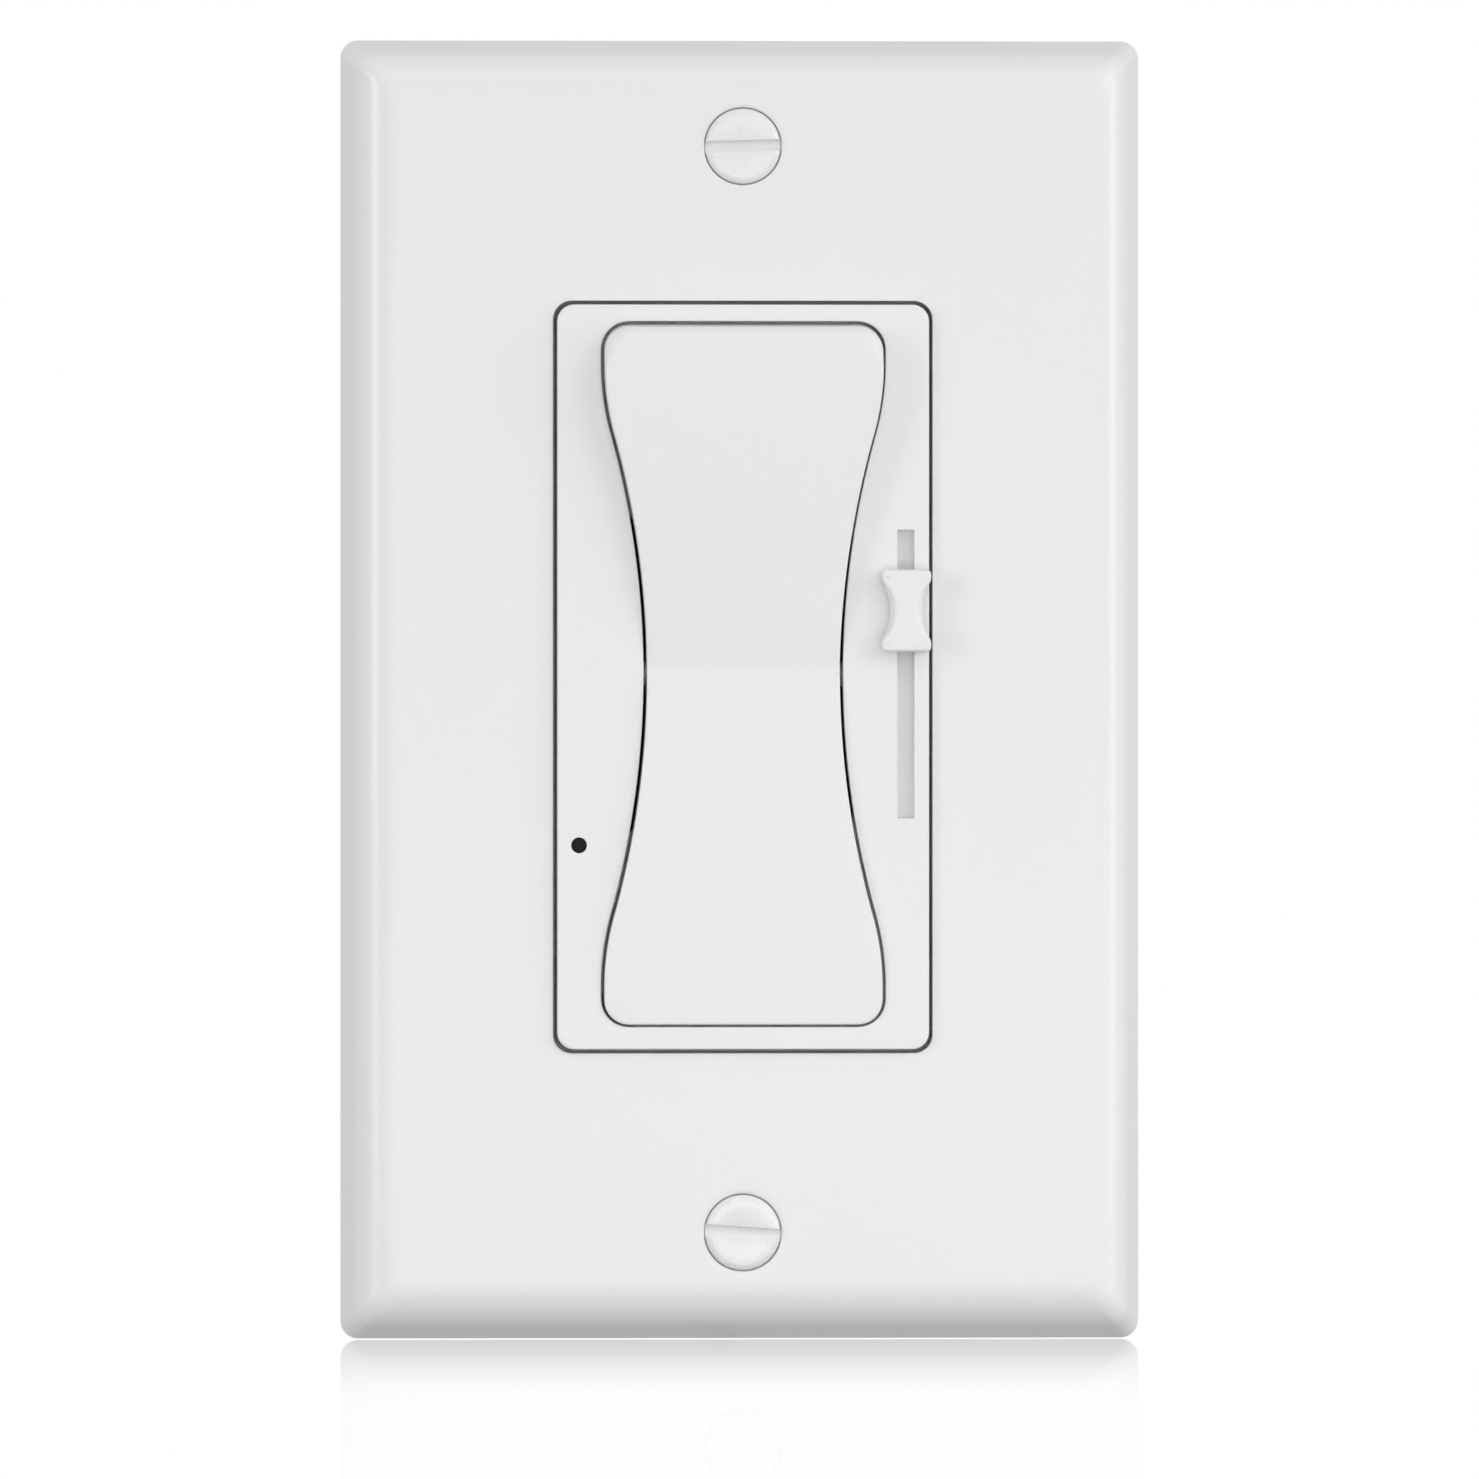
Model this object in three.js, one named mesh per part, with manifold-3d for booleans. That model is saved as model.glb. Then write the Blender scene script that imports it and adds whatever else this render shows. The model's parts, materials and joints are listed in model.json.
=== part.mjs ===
// A one-gang slide dimmer for a wall box, with its wall plate: an hourglass rocker paddle switches the
// light and a small slider beside it sets the level. Millimetres, +Z up, front face towards -Y.
// The origin is the middle of the plate on the wall plane (y = 0); the device body goes into the wall, +Y.
import * as THREE from 'three';
import { mergeVertices } from 'three/addons/utils/BufferGeometryUtils.js';
import Module from 'manifold-3d';

const wasm = await Module();
wasm.setup();

// ---------------------------------------------------------------- driving dimensions

const RADIANS = Math.PI / 180;
const GAP = 0.05; // between pieces that rest on each other
const RUNNING_GAP = 0.13; // each side of the thin line round the bezel and round the paddle

const PLATE = { width: 71.5, height: 116, depth: 5.9, wall: 1.8, corner: 1.6, edgeRadius: 4, edgeTurn: 70 };
const PLATE_SCREW = { spread: 48.4, shank: 1.65, head: 3.38, recess: 3.6, slotWidth: 1.05, tip: 7.5 };
const PLATE_SCREW_TILT = { top: 1.6, bottom: -4.1 }; // how far each slot is turned, degrees
const BOX_SCREW = { spread: 41.65, shank: 1.65, head: 3.3, tip: 24 };

const INSERT_RISE = 1.1; // the insert sits this much above the middle of the plate
const CONTROL_RISE = 0.25; // the paddle and slider sit this much above the middle of the insert
const BEZEL = { width: 33.49, height: 66.68, corner: 1.5, front: -6.6, face: 1.7, sideWall: 0.95, endWall: 0.9 };

// The hourglass outline, to the middle of the line round the paddle.
const PADDLE_OUTLINE = { waist: 8.75, half: 12.55, height: 31.28, shoulder: 27.7, side: 23.2, corner: 2.35 };
const PADDLE = { pivot: -3.6, tilt: 2, front: 3.3, crown: 0.4, skin: 1.8, skirt: 1.4, back: -0.5 };
const PIVOT_PIN = { radius: 1.1, reach: 11.1 };
const BOSS = { radius: 3.3, pocket: 2.15, floor: -1.5, mouth: 6.6 };
const PLUNGER = { radius: 1.95, start: 2.95, tip: 12.2, spigot: 0.9 };
const SPRING = { radius: 1.45, wire: 0.25, turns: 5, start: -1.15, end: 2.6 };

const SLIDER = { x: 14.5, travel: 19, rest: 5.65, slotWidth: 1.5, slotHalf: 12.85 };
const KNOB = { waist: 1.48, half: 2.25, height: 3.7, shoulder: 3.0, side: 1.2, corner: 0.45, draft: 0.5 };
const KNOB_FRONT = -8.3;
const INDICATOR = { x: -14.65, z: -15, radius: 0.7 };

const STRAP = { thickness: 1.5, width: 44, height: 71, earWidth: 30, length: 105 };
const STRAP_WINDOW = { half: 10, height: 14 };
const HOUSING = { width: 43, height: 62, depth: 30, wall: 1.6, back: 1.8, corner: 2 };
const POST = { x: 17.1, z: 26.7, radius: 2.6, foot: 3.6, screw: 1.35, head: 2.5 };
const BOARD = { front: 14, back: 15.6, width: 39.2, height: 58.2 };

const CONTACT = { pivot: 9.6, tilt: 6, reach: 10.4, tip: 1.5, fixedFront: 11.74 };
const TRIAC = { x: -9, width: 9.6, bodyLow: 15.1, bodyHigh: 23.8, tabHigh: 29, screwZ: 26.4, leadPitch: 2.54 };
const CHOKE = { x: -3, z: -15, front: 16.4, back: 25.4, outer: 9, inner: 4.2, wire: 0.8 };
const TERMINAL = { y: 22.1, pocket: 16.6, half: 4.9, depthHalf: 4.7, screw: 1.9, head: 3.5 };
const TERMINALS = [
  { name: 'line', side: 1, z: 10.5 },
  { name: 'load', side: 1, z: -10.5 },
  { name: 'traveller', side: -1, z: 10.5 },
];
const GROUND = { tab: -16.5, z: -34.9, y: 4.2 };

// ---------------------------------------------------------------- materials

function material(color, roughness, metalness = 0) {
  return new THREE.MeshStandardMaterial({ color, roughness, metalness });
}

const WHITE_PLASTIC = material(0xe9e9e8, 0.3);
const WHITE_PAINT = material(0xebebea, 0.35);
const SMOKED_LENS = material(0x151515, 0.15);
const ALUMINIUM = material(0xb9bbbd, 0.4, 1);
const ZINC_STEEL = material(0xb4b6b8, 0.35, 1);
const SPRING_STEEL = material(0x8f9295, 0.3, 1);
const BRASS = material(0xc9a24c, 0.35, 1);
const SILVER = material(0xdedede, 0.3, 1);
const COPPER = material(0xb8693a, 0.35, 1);
const HOUSING_PLASTIC = material(0x3b3d40, 0.6);
const BASE_PLASTIC = material(0x5a2f22, 0.6);
const FIBRE = material(0xa9794a, 0.8);
const BOARD_LAMINATE = material(0x1f5b38, 0.5);
const BLACK_EPOXY = material(0x1a1a1c, 0.5);
const FERRITE = material(0x2f3133, 0.7);
const YELLOW_CASE = material(0xd9b63a, 0.45);
const SLEEVE = material(0x22303f, 0.4);
const CERAMIC = material(0xcfc8b8, 0.6);
const GREEN_PAINT = material(0x2f8a4a, 0.4);
const LED_RESIN = material(0xe8f0e8, 0.2);

// ---------------------------------------------------------------- solids from three.js geometry

// A closed geometry as a manifold-3d solid, which can be cut and joined.
function solid(geometry) {
  const bare = geometry.clone();
  bare.deleteAttribute('normal');
  bare.deleteAttribute('uv');
  const merged = mergeVertices(bare, 1e-4);
  const triVerts = new Uint32Array(merged.index.array);
  return new wasm.Manifold(
    new wasm.Mesh({ numProp: 3, vertProperties: merged.attributes.position.array, triVerts }),
  );
}

function geometryOf(body) {
  const { vertProperties, triVerts } = body.getMesh();
  const geometry = new THREE.BufferGeometry();
  geometry.setAttribute('position', new THREE.BufferAttribute(vertProperties, 3));
  geometry.setIndex(new THREE.BufferAttribute(triVerts, 1));
  geometry.computeVertexNormals();
  return geometry;
}

function join(...bodies) {
  return bodies.reduce((whole, body) => whole.add(body));
}

function cut(body, ...tools) {
  return tools.reduce((left, tool) => left.subtract(tool), body);
}

function box([x0, x1], [y0, y1], [z0, z1]) {
  const geometry = new THREE.BoxGeometry(x1 - x0, y1 - y0, z1 - z0);
  geometry.translate((x0 + x1) / 2, (y0 + y1) / 2, (z0 + z1) / 2);
  return solid(geometry);
}

// The same range on the left (side -1) or the right (side 1) of the middle plane.
function onSide(side, near, far) {
  return side > 0 ? [near, far] : [-far, -near];
}

// Round rods along each axis, from one coordinate to another.
function rodY(radius, [y0, y1], x = 0, z = 0, sides = 16) {
  const geometry = new THREE.CylinderGeometry(radius, radius, y1 - y0, sides);
  geometry.translate(x, (y0 + y1) / 2, z);
  return solid(geometry);
}

function rodX(radius, [x0, x1], y, z, sides = 16) {
  const geometry = new THREE.CylinderGeometry(radius, radius, x1 - x0, sides);
  geometry.rotateZ(Math.PI / 2);
  geometry.translate((x0 + x1) / 2, y, z);
  return solid(geometry);
}

function rodZ(radius, [z0, z1], x, y, sides = 16) {
  const geometry = new THREE.CylinderGeometry(radius, radius, z1 - z0, sides);
  geometry.rotateX(Math.PI / 2);
  geometry.translate(x, y, (z0 + z1) / 2);
  return solid(geometry);
}

// A turned piece about the Y axis. The profile lists [radius, y] from low y to high y, axis to axis.
function turned(profile, sides = 20) {
  const points = profile.map(([radius, y]) => new THREE.Vector2(radius, y));
  return solid(new THREE.LatheGeometry(points, sides));
}

// A shape drawn in x and z, carried from y0 to y1.
function slab(shape, [y0, y1], curveSegments = 4) {
  const geometry = new THREE.ExtrudeGeometry(shape, { depth: y1 - y0, bevelEnabled: false, curveSegments });
  geometry.rotateX(Math.PI / 2);
  geometry.translate(0, y1, 0);
  return solid(geometry);
}

// A shape drawn in y and z, carried from x0 to x1.
function sideSlab(shape, [x0, x1], curveSegments = 4) {
  const geometry = new THREE.ExtrudeGeometry(shape, { depth: x1 - x0, bevelEnabled: false, curveSegments });
  geometry.applyMatrix4(new THREE.Matrix4().set(0, 0, 1, x0, 1, 0, 0, 0, 0, 1, 0, 0, 0, 0, 0, 1));
  return solid(geometry);
}

// A closed skin over rings of equal point counts, from the back ring to the front ring. Each ring is
// { points: [[x, z], ...], y }, convex enough to be closed by triangles, anticlockwise seen from the front.
function loft(rings) {
  const count = rings[0].points.length;
  const positions = rings.flatMap(({ points, y }) => points.flatMap(([x, z]) => [x, y, z]));
  const index = [];
  for (let ring = 0; ring + 1 < rings.length; ring++) {
    for (let k = 0; k < count; k++) {
      const next = (k + 1) % count;
      const [a, b] = [ring * count + k, ring * count + next];
      index.push(a, b, a + count, b, b + count, a + count);
    }
  }
  const outline = rings[0].points.map(([x, z]) => new THREE.Vector2(x, z));
  const last = (rings.length - 1) * count;
  for (const [a, b, c] of THREE.ShapeUtils.triangulateShape(outline, [])) {
    index.push(a, c, b, last + a, last + b, last + c);
  }
  const geometry = new THREE.BufferGeometry();
  geometry.setAttribute('position', new THREE.Float32BufferAttribute(positions, 3));
  geometry.setIndex(index);
  return solid(geometry);
}

// ---------------------------------------------------------------- outlines

function roundedRectangle(width, height, radius, x = 0, z = 0) {
  const [left, right, low, high] = [x - width / 2, x + width / 2, z - height / 2, z + height / 2];
  const shape = new THREE.Shape();
  shape.moveTo(left + radius, low);
  shape.absarc(right - radius, low + radius, radius, -Math.PI / 2, 0);
  shape.absarc(right - radius, high - radius, radius, 0, Math.PI / 2);
  shape.absarc(left + radius, high - radius, radius, Math.PI / 2, Math.PI);
  shape.absarc(left + radius, low + radius, radius, Math.PI, Math.PI * 1.5);
  return shape;
}

// A rectangle whose long sides curve in to a waist: a hollow arc between two bulging ones, all tangent.
function hourglass({ waist, half, height, shoulder, side, corner }, grow = 0) {
  const [width, top, bulge, round] = [half + grow, height + grow, side + grow, corner + grow];
  const inward = waist + grow - (width - bulge);
  const hollow = (inward ** 2 + shoulder ** 2 - bulge ** 2) / (2 * (bulge - inward));
  const turn = Math.atan2(shoulder, inward + hollow);
  const centre = waist + grow + hollow;
  const shape = new THREE.Shape();
  shape.moveTo(width - round, -top);
  shape.absarc(width - round, round - top, round, -Math.PI / 2, 0);
  shape.absarc(width - bulge, -shoulder, bulge, 0, turn);
  shape.absarc(centre, 0, hollow, Math.PI + turn, Math.PI - turn, true);
  shape.absarc(width - bulge, shoulder, bulge, -turn, 0);
  shape.absarc(width - round, top - round, round, 0, Math.PI / 2);
  shape.absarc(round - width, top - round, round, Math.PI / 2, Math.PI);
  shape.absarc(bulge - width, shoulder, bulge, Math.PI, Math.PI + turn);
  shape.absarc(-centre, 0, hollow, turn, -turn, true);
  shape.absarc(bulge - width, -shoulder, bulge, Math.PI - turn, Math.PI);
  shape.absarc(round - width, round - top, round, Math.PI, Math.PI * 1.5);
  return shape;
}

// One ring of a loft. Points that fall on each other where two arcs meet are dropped.
function ringOf(shape, y, divisions) {
  const points = shape.getPoints(divisions).map(({ x, y: z }) => [x, z]);
  const distinct = points.filter(([x, z], k) => {
    const [nextX, nextZ] = points[(k + 1) % points.length];
    return Math.hypot(nextX - x, nextZ - z) > 1e-6;
  });
  return { points: distinct, y };
}

// ---------------------------------------------------------------- the assembly's groups

const dimmer = new THREE.Group();
const device = new THREE.Group();
device.position.z = INSERT_RISE;
dimmer.add(device);
const controls = new THREE.Group();
controls.position.z = CONTROL_RISE;
device.add(controls);

function add(group, name, body, look) {
  const mesh = new THREE.Mesh(geometryOf(body), look);
  mesh.name = name;
  group.add(mesh);
}

// ---------------------------------------------------------------- wall plate and its screws

// The plate's edge, as [inset from the outline, y], for a skin that lies depthIn under the outer one:
// a steep straight side from the wall, then an arc over to the flat face.
function plateEdge(depthIn, startY) {
  const { depth, edgeRadius, edgeTurn } = PLATE;
  const steep = Math.tan(edgeTurn * RADIANS);
  const arcDrop = edgeRadius * (1 - Math.cos(edgeTurn * RADIANS));
  const centreInset = edgeRadius * Math.sin(edgeTurn * RADIANS) + (depth - arcDrop) / steep;
  const arcSteps = 5;
  const arc = [];
  for (let step = arcSteps; step >= 0; step--) {
    const angle = (edgeTurn * RADIANS * step) / arcSteps;
    const radius = edgeRadius - depthIn;
    arc.push([centreInset - radius * Math.sin(angle), edgeRadius - depth - radius * Math.cos(angle)]);
  }
  const [inset, y] = arc[0];
  return [[inset - (startY - y) / steep, startY], ...arc];
}

function plateSkin(depthIn, startY) {
  const rings = plateEdge(depthIn, startY).map(([inset, y]) => {
    const radius = PLATE.corner - 0.16 * inset;
    return ringOf(roundedRectangle(PLATE.width - 2 * inset, PLATE.height - 2 * inset, radius), y, 2);
  });
  return loft(rings);
}

function wallPlate() {
  const { width, height, corner } = BEZEL;
  const opening = roundedRectangle(
    width + 2 * RUNNING_GAP, height + 2 * RUNNING_GAP, corner + RUNNING_GAP, 0, INSERT_RISE,
  );
  const rim = slab(roundedRectangle(width + 2.6, height + 2.6, corner + 1.2, 0, INSERT_RISE), [-4.6, -2.2], 2);
  const shell = cut(plateSkin(0, 0), plateSkin(PLATE.wall, 0.5));
  const bosses = [1, -1].map((end) => rodY(3.2, [-4.6, -1.75], 0, end * PLATE_SCREW.spread));
  const holes = [1, -1].map((end) => plateScrewHole().translate(0, 0, end * PLATE_SCREW.spread));
  return cut(join(shell, rim, ...bosses), slab(opening, [-9, 1], 2), ...holes);
}

// A round step, then a cone down to the clearance hole.
function plateScrewHole() {
  const { recess, shank } = PLATE_SCREW;
  const hole = shank + 0.25;
  const stepY = -PLATE.depth + 0.5;
  const coneEnd = stepY + (recess - hole) / Math.tan(41 * RADIANS);
  return turned([[0, -9], [recess, -9], [recess, stepY], [hole, coneEnd], [hole, 1], [0, 1]]);
}

function plateScrew(tilt) {
  const { head, shank, slotWidth, tip } = PLATE_SCREW;
  const rimY = -PLATE.depth + 0.05;
  const coneY = rimY + 0.3;
  const coneEnd = coneY + (head - shank) / Math.tan(41 * RADIANS);
  const dome = [[0, rimY - 0.42], [head * 0.5, rimY - 0.36], [head * 0.85, rimY - 0.17], [head, rimY]];
  const tail = [[head, coneY], [shank, coneEnd], [shank, tip - 0.7], [shank - 0.6, tip], [0, tip]];
  const slot = new THREE.BoxGeometry(4 * head, 1.6, slotWidth);
  slot.rotateY(-tilt * RADIANS);
  slot.translate(0, rimY, 0);
  return cut(turned([...dome, ...tail], 32), solid(slot));
}

add(dimmer, 'wall_plate', wallPlate(), WHITE_PLASTIC);
for (const [name, end] of [['top', 1], ['bottom', -1]]) {
  const screw = plateScrew(PLATE_SCREW_TILT[name]).translate(0, 0, end * PLATE_SCREW.spread);
  add(dimmer, `plate_screw_${name}`, screw, WHITE_PAINT);
}

// ---------------------------------------------------------------- mounting strap

const HOOK = { x: 9, width: 3, z: 32.35, thick: 0.85, barb: 1.5 };

function mountingStrap() {
  const { thickness, width, height, earWidth, length } = STRAP;
  const span = [-thickness, 0];
  const through = [-4, 4];
  const body = slab(roundedRectangle(width, height, 2.5, 0, INSERT_RISE), span, 2);
  const ears = slab(roundedRectangle(earWidth, length, 4), span, 3);
  const groundZ = INSERT_RISE + GROUND.z;
  const tab = box([GROUND.tab, GROUND.tab + thickness], [-thickness, 8.4], [groundZ - 3.2, groundZ + 3.2]);
  const control = INSERT_RISE + CONTROL_RISE;
  const { half, height: windowHalf } = STRAP_WINDOW;
  const sliderHalf = SLIDER.travel / 2 + 5;
  const cuts = [
    box([-half, half], through, [control - windowHalf, control + windowHalf]),
    box([SLIDER.x - 1.8, SLIDER.x + 1.6], through, [control - sliderHalf, control + sliderHalf]),
    rodY(1.7, through, INDICATOR.x, INSERT_RISE + INDICATOR.z),
    rodY(1.55, through, TRIAC.x, INSERT_RISE + TRIAC.screwZ),
    rodX(2.1, [GROUND.tab - 1, GROUND.tab + thickness + 1], GROUND.y, groundZ),
  ];
  for (const end of [1, -1]) {
    cuts.push(rodY(PLATE_SCREW.shank + 0.15, through, 0, end * PLATE_SCREW.spread));
    cuts.push(slab(roundedRectangle(8, 4.2, 2.09, 0, end * BOX_SCREW.spread), through, 3));
    for (const side of [1, -1]) {
      const hookZ = INSERT_RISE + end * (HOOK.z + 0.2);
      cuts.push(rodY(POST.screw + 0.2, through, side * POST.x, INSERT_RISE + end * POST.z));
      cuts.push(box([side * HOOK.x - 1.8, side * HOOK.x + 1.8], through, [hookZ - 0.8, hookZ + 0.8]));
    }
  }
  return cut(join(body, ears, tab), ...cuts);
}

// A machine screw with a slotted head, its axis along Y with the tip towards +Y.
function machineScrew({ shank, head, headFront, seat, tip, slot = 1 }) {
  const round = (seat - headFront) * 0.35;
  const profile = [
    [0, headFront], [head - round, headFront], [head, headFront + round], [head, seat],
    [shank, seat], [shank, tip - 0.6], [shank - 0.5, tip], [0, tip],
  ];
  const groove = box([-2 * head, 2 * head], [headFront - 1, headFront + 0.9], [-slot / 2, slot / 2]);
  return cut(turned(profile, 14), groove);
}

add(dimmer, 'mounting_strap', mountingStrap(), ALUMINIUM);
for (const [name, end] of [['top', 1], ['bottom', -1]]) {
  const z = end * BOX_SCREW.spread;
  const { shank, head, tip } = BOX_SCREW;
  const screw = machineScrew({ shank, head, headFront: -3.4, seat: -STRAP.thickness - GAP, tip });
  const washer = cut(box([-4.5, 4.5], [0.1, 0.9], [z - 4.5, z + 4.5]), rodY(shank + 0.1, [-1, 2], 0, z));
  add(dimmer, `box_screw_${name}`, screw.translate(0, 0, z), ZINC_STEEL);
  add(dimmer, `screw_retainer_${name}`, washer, FIBRE);
}

const groundScrew = machineScrew({ shank: 1.9, head: 3.3, headFront: 0, seat: 2.3, tip: 9.6 })
  .rotate([0, 0, -90])
  .translate(GROUND.tab - 2.35, GROUND.y, GROUND.z);
add(device, 'ground_screw', groundScrew, GREEN_PAINT);

// ---------------------------------------------------------------- bezel and indicator lens

function bezel() {
  const { corner, front, face, sideWall, endWall } = BEZEL;
  const [width, height] = [BEZEL.width - 2 * RUNNING_GAP, BEZEL.height - 2 * RUNNING_GAP];
  const back = -STRAP.thickness - GAP;
  const chamfer = 0.35;
  const tray = loft([
    ringOf(roundedRectangle(width, height, corner), back, 3),
    ringOf(roundedRectangle(width, height, corner), front + chamfer, 3),
    ringOf(roundedRectangle(width - 2 * chamfer, height - 2 * chamfer, corner - chamfer), front, 3),
  ]);
  const faceBack = front + face;
  const hollow = roundedRectangle(width - 2 * sideWall, height - 2 * endWall, 0.6);
  const opening = slab(hourglass(PADDLE_OUTLINE, RUNNING_GAP), [-9, 0]).translate(0, 0, CONTROL_RISE);
  const slotHalf = SLIDER.slotWidth / 2;
  const slotZ = [CONTROL_RISE - SLIDER.slotHalf, CONTROL_RISE + SLIDER.slotHalf];
  const slot = box([SLIDER.x - slotHalf, SLIDER.x + slotHalf], [-9, 0], slotZ);
  const shell = cut(tray, slab(hollow, [faceBack, 0], 2), opening, slot);
  const ears = [1, -1].map((side) => pivotEar(side, faceBack - GAP));
  const guide = box([12.25, 12.7], [faceBack - GAP, -3.2], [-17, 17]);
  return cut(join(shell, ...ears, guide, ...hooks()), rodY(INDICATOR.radius, [-9, 0], INDICATOR.x, INDICATOR.z));
}

// A lug with a snap-in seat for one of the paddle's pivot pins.
function pivotEar(side, front) {
  const z = CONTROL_RISE;
  const block = box(onSide(side, 9.15, 11.5), [front, -1.9], [z - 2.9, z + 2.9]);
  const seat = rodX(PIVOT_PIN.radius + 0.15, onSide(side, 8, 12), PADDLE.pivot, z, 20);
  const mouth = box(onSide(side, 8, 12), [PADDLE.pivot, 0], [z - 1, z + 1]);
  return cut(block, seat, mouth);
}

// Four barbed hooks that snap through the strap.
function hooks() {
  const { x, width, z, thick, barb } = HOOK;
  const made = [];
  for (const side of [1, -1]) {
    for (const end of [1, -1]) {
      const spanX = [side * x - width / 2, side * x + width / 2];
      made.push(box(spanX, [-2.6, barb], onSide(end, z, z + thick)));
      made.push(box(spanX, [0.2, barb], onSide(end, z, z + thick + 0.5)));
    }
  }
  return made;
}

add(device, 'bezel', bezel(), WHITE_PLASTIC);

const lens = turned(
  [[0, BEZEL.front + 0.15], [0.6, BEZEL.front + 0.15], [0.6, -4.9], [0.95, -4.7], [0.95, 9.3], [0, 9.3]], 16,
);
add(device, 'indicator_lens', lens.translate(INDICATOR.x, 0, INDICATOR.z), SMOKED_LENS);

// ---------------------------------------------------------------- paddle, plunger and spring

// The paddle seen from the side, in y and z about its pivot: two crowned faces that meet in a shallow V,
// with ends that are arcs about the pivot, so that the gap to the bezel stays even as it rocks.
function paddleSide(depthIn, backY) {
  const { front, tilt, crown } = PADDLE;
  const frontY = (z) => depthIn - front - Math.abs(z) * Math.tan(tilt * RADIANS);
  const nominalEnd = PADDLE_OUTLINE.height - RUNNING_GAP - depthIn;
  const endRadius = Math.hypot(nominalEnd, front - 0.3);
  const tipZ = nominalEnd - 0.4;
  const tipAngle = Math.atan2(tipZ, frontY(tipZ));
  const backAngle = Math.acos(backY / endRadius);
  const [tipY, tipHeight] = [endRadius * Math.cos(tipAngle), endRadius * Math.sin(tipAngle)];
  const bulgeY = (tipY + frontY(0)) / 2 - 2 * crown;
  const shape = new THREE.Shape();
  shape.moveTo(endRadius * Math.cos(backAngle), endRadius * Math.sin(backAngle));
  shape.absarc(0, 0, endRadius, backAngle, tipAngle);
  shape.quadraticCurveTo(bulgeY, tipHeight / 2, frontY(0), 0);
  shape.quadraticCurveTo(bulgeY, -tipHeight / 2, tipY, -tipHeight);
  shape.absarc(0, 0, endRadius, -tipAngle, -backAngle);
  return shape;
}

function paddle() {
  const { skin, skirt, back } = PADDLE;
  const outside = slab(hourglass(PADDLE_OUTLINE, -RUNNING_GAP), [-9, 3]);
  const inside = slab(hourglass(PADDLE_OUTLINE, -RUNNING_GAP - skirt), [-9, 3]);
  const body = outside.intersect(sideSlab(paddleSide(0, back), [-14, 14]));
  const hollow = inside.intersect(sideSlab(paddleSide(skin, 2), [-14, 14]));
  const beam = box([-8.5, 8.5], [-3, 1.2], [-2.2, 2.2]);
  const pins = rodX(PIVOT_PIN.radius, [-PIVOT_PIN.reach, PIVOT_PIN.reach], 0, 0, 20);
  const boss = rodY(BOSS.radius, [-3, BOSS.mouth]);
  const ribs = [1, -1].map((end) => box([-9.2, 9.2], [-4.2, -1.2], onSide(end, 15.4, 16.6)));
  const pocket = rodY(BOSS.pocket, [BOSS.floor, BOSS.mouth + 1]);
  return cut(join(cut(body, hollow), beam, pins, boss, ...ribs), pocket);
}

function plunger() {
  const { radius, start, tip, spigot } = PLUNGER;
  const nose = 5; // steps round the nose
  const profile = [[0, start - 1], [spigot, start - 1], [spigot, start], [radius, start], [radius, 7.4]];
  profile.push([1.4, 8.2], [1.4, tip - 1.4]);
  for (let step = 1; step < nose; step++) {
    const angle = (Math.PI / 2) * (step / nose);
    profile.push([1.4 * Math.cos(angle), tip - 1.4 + 1.4 * Math.sin(angle)]);
  }
  profile.push([0, tip]);
  return turned(profile, 20);
}

class Helix extends THREE.Curve {
  constructor({ radius, turns, start, end }) {
    super();
    Object.assign(this, { radius, turns, start, end });
  }

  getPoint(t, target = new THREE.Vector3()) {
    const angle = 2 * Math.PI * this.turns * t;
    const y = this.start + (this.end - this.start) * t;
    return target.set(this.radius * Math.cos(angle), y, this.radius * Math.sin(angle));
  }
}

function coilSpring(spring) {
  const section = new THREE.Shape().absarc(0, 0, spring.wire, 0, 2 * Math.PI);
  const steps = 12 * spring.turns;
  return solid(
    new THREE.ExtrudeGeometry(section, { steps, extrudePath: new Helix(spring), curveSegments: 3 }),
  );
}

const rocking = new THREE.Group();
rocking.position.y = PADDLE.pivot;
rocking.rotation.x = PADDLE.tilt * RADIANS;
controls.add(rocking);
add(rocking, 'paddle', paddle(), WHITE_PLASTIC);
add(rocking, 'contact_plunger', plunger(), BASE_PLASTIC);
add(rocking, 'plunger_spring', coilSpring(SPRING), SPRING_STEEL);

// ---------------------------------------------------------------- slider: knob, shutter and potentiometer

const sliding = new THREE.Group();
sliding.position.set(SLIDER.x, 0, SLIDER.rest);
controls.add(sliding);

const STEM = { half: 0.55, length: SLIDER.slotHalf - SLIDER.travel / 2 - 0.2, back: -3.2 };

function dimmerKnob() {
  const foot = BEZEL.front - 0.35;
  const { draft } = KNOB;
  const levels = [[0, foot], [-draft, KNOB_FRONT + 0.5], [-draft - 0.12, KNOB_FRONT + 0.15], [-draft - 0.4, KNOB_FRONT]];
  const rings = levels.map(([grow, y]) => ringOf(knobOutline(grow), y, 3));
  const stem = box([-STEM.half, STEM.half], [foot - 1, STEM.back], [-STEM.length, STEM.length]);
  return join(loft(rings), stem);
}

// The knob's outline shrinks towards its front, and its corners keep a round.
function knobOutline(grow) {
  return hourglass({ ...KNOB, corner: KNOB.corner - grow * 0.6 }, grow);
}

function slideShutter() {
  const cover = SLIDER.slotHalf + SLIDER.travel / 2 - GAP;
  const strip = box([-1.55, 1.05], [-4.75, -3.85], [-cover, cover]);
  const boss = box([-1.25, 1.05], [-4, 2.8], [-4.4, 4.4]);
  const stemSocket = box([-0.7, 0.7], [-5, -2.6], [-STEM.length - 0.15, STEM.length + 0.15]);
  const leverSocket = box([-0.6, 0.6], [-1.2, 4], [-2.2, 2.2]);
  return cut(join(strip, boss), stemSocket, leverSocket);
}

const POT = { front: 6.6, back: 13.9, half: 4.2, length: 15.5, metal: 0.5 };

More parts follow.
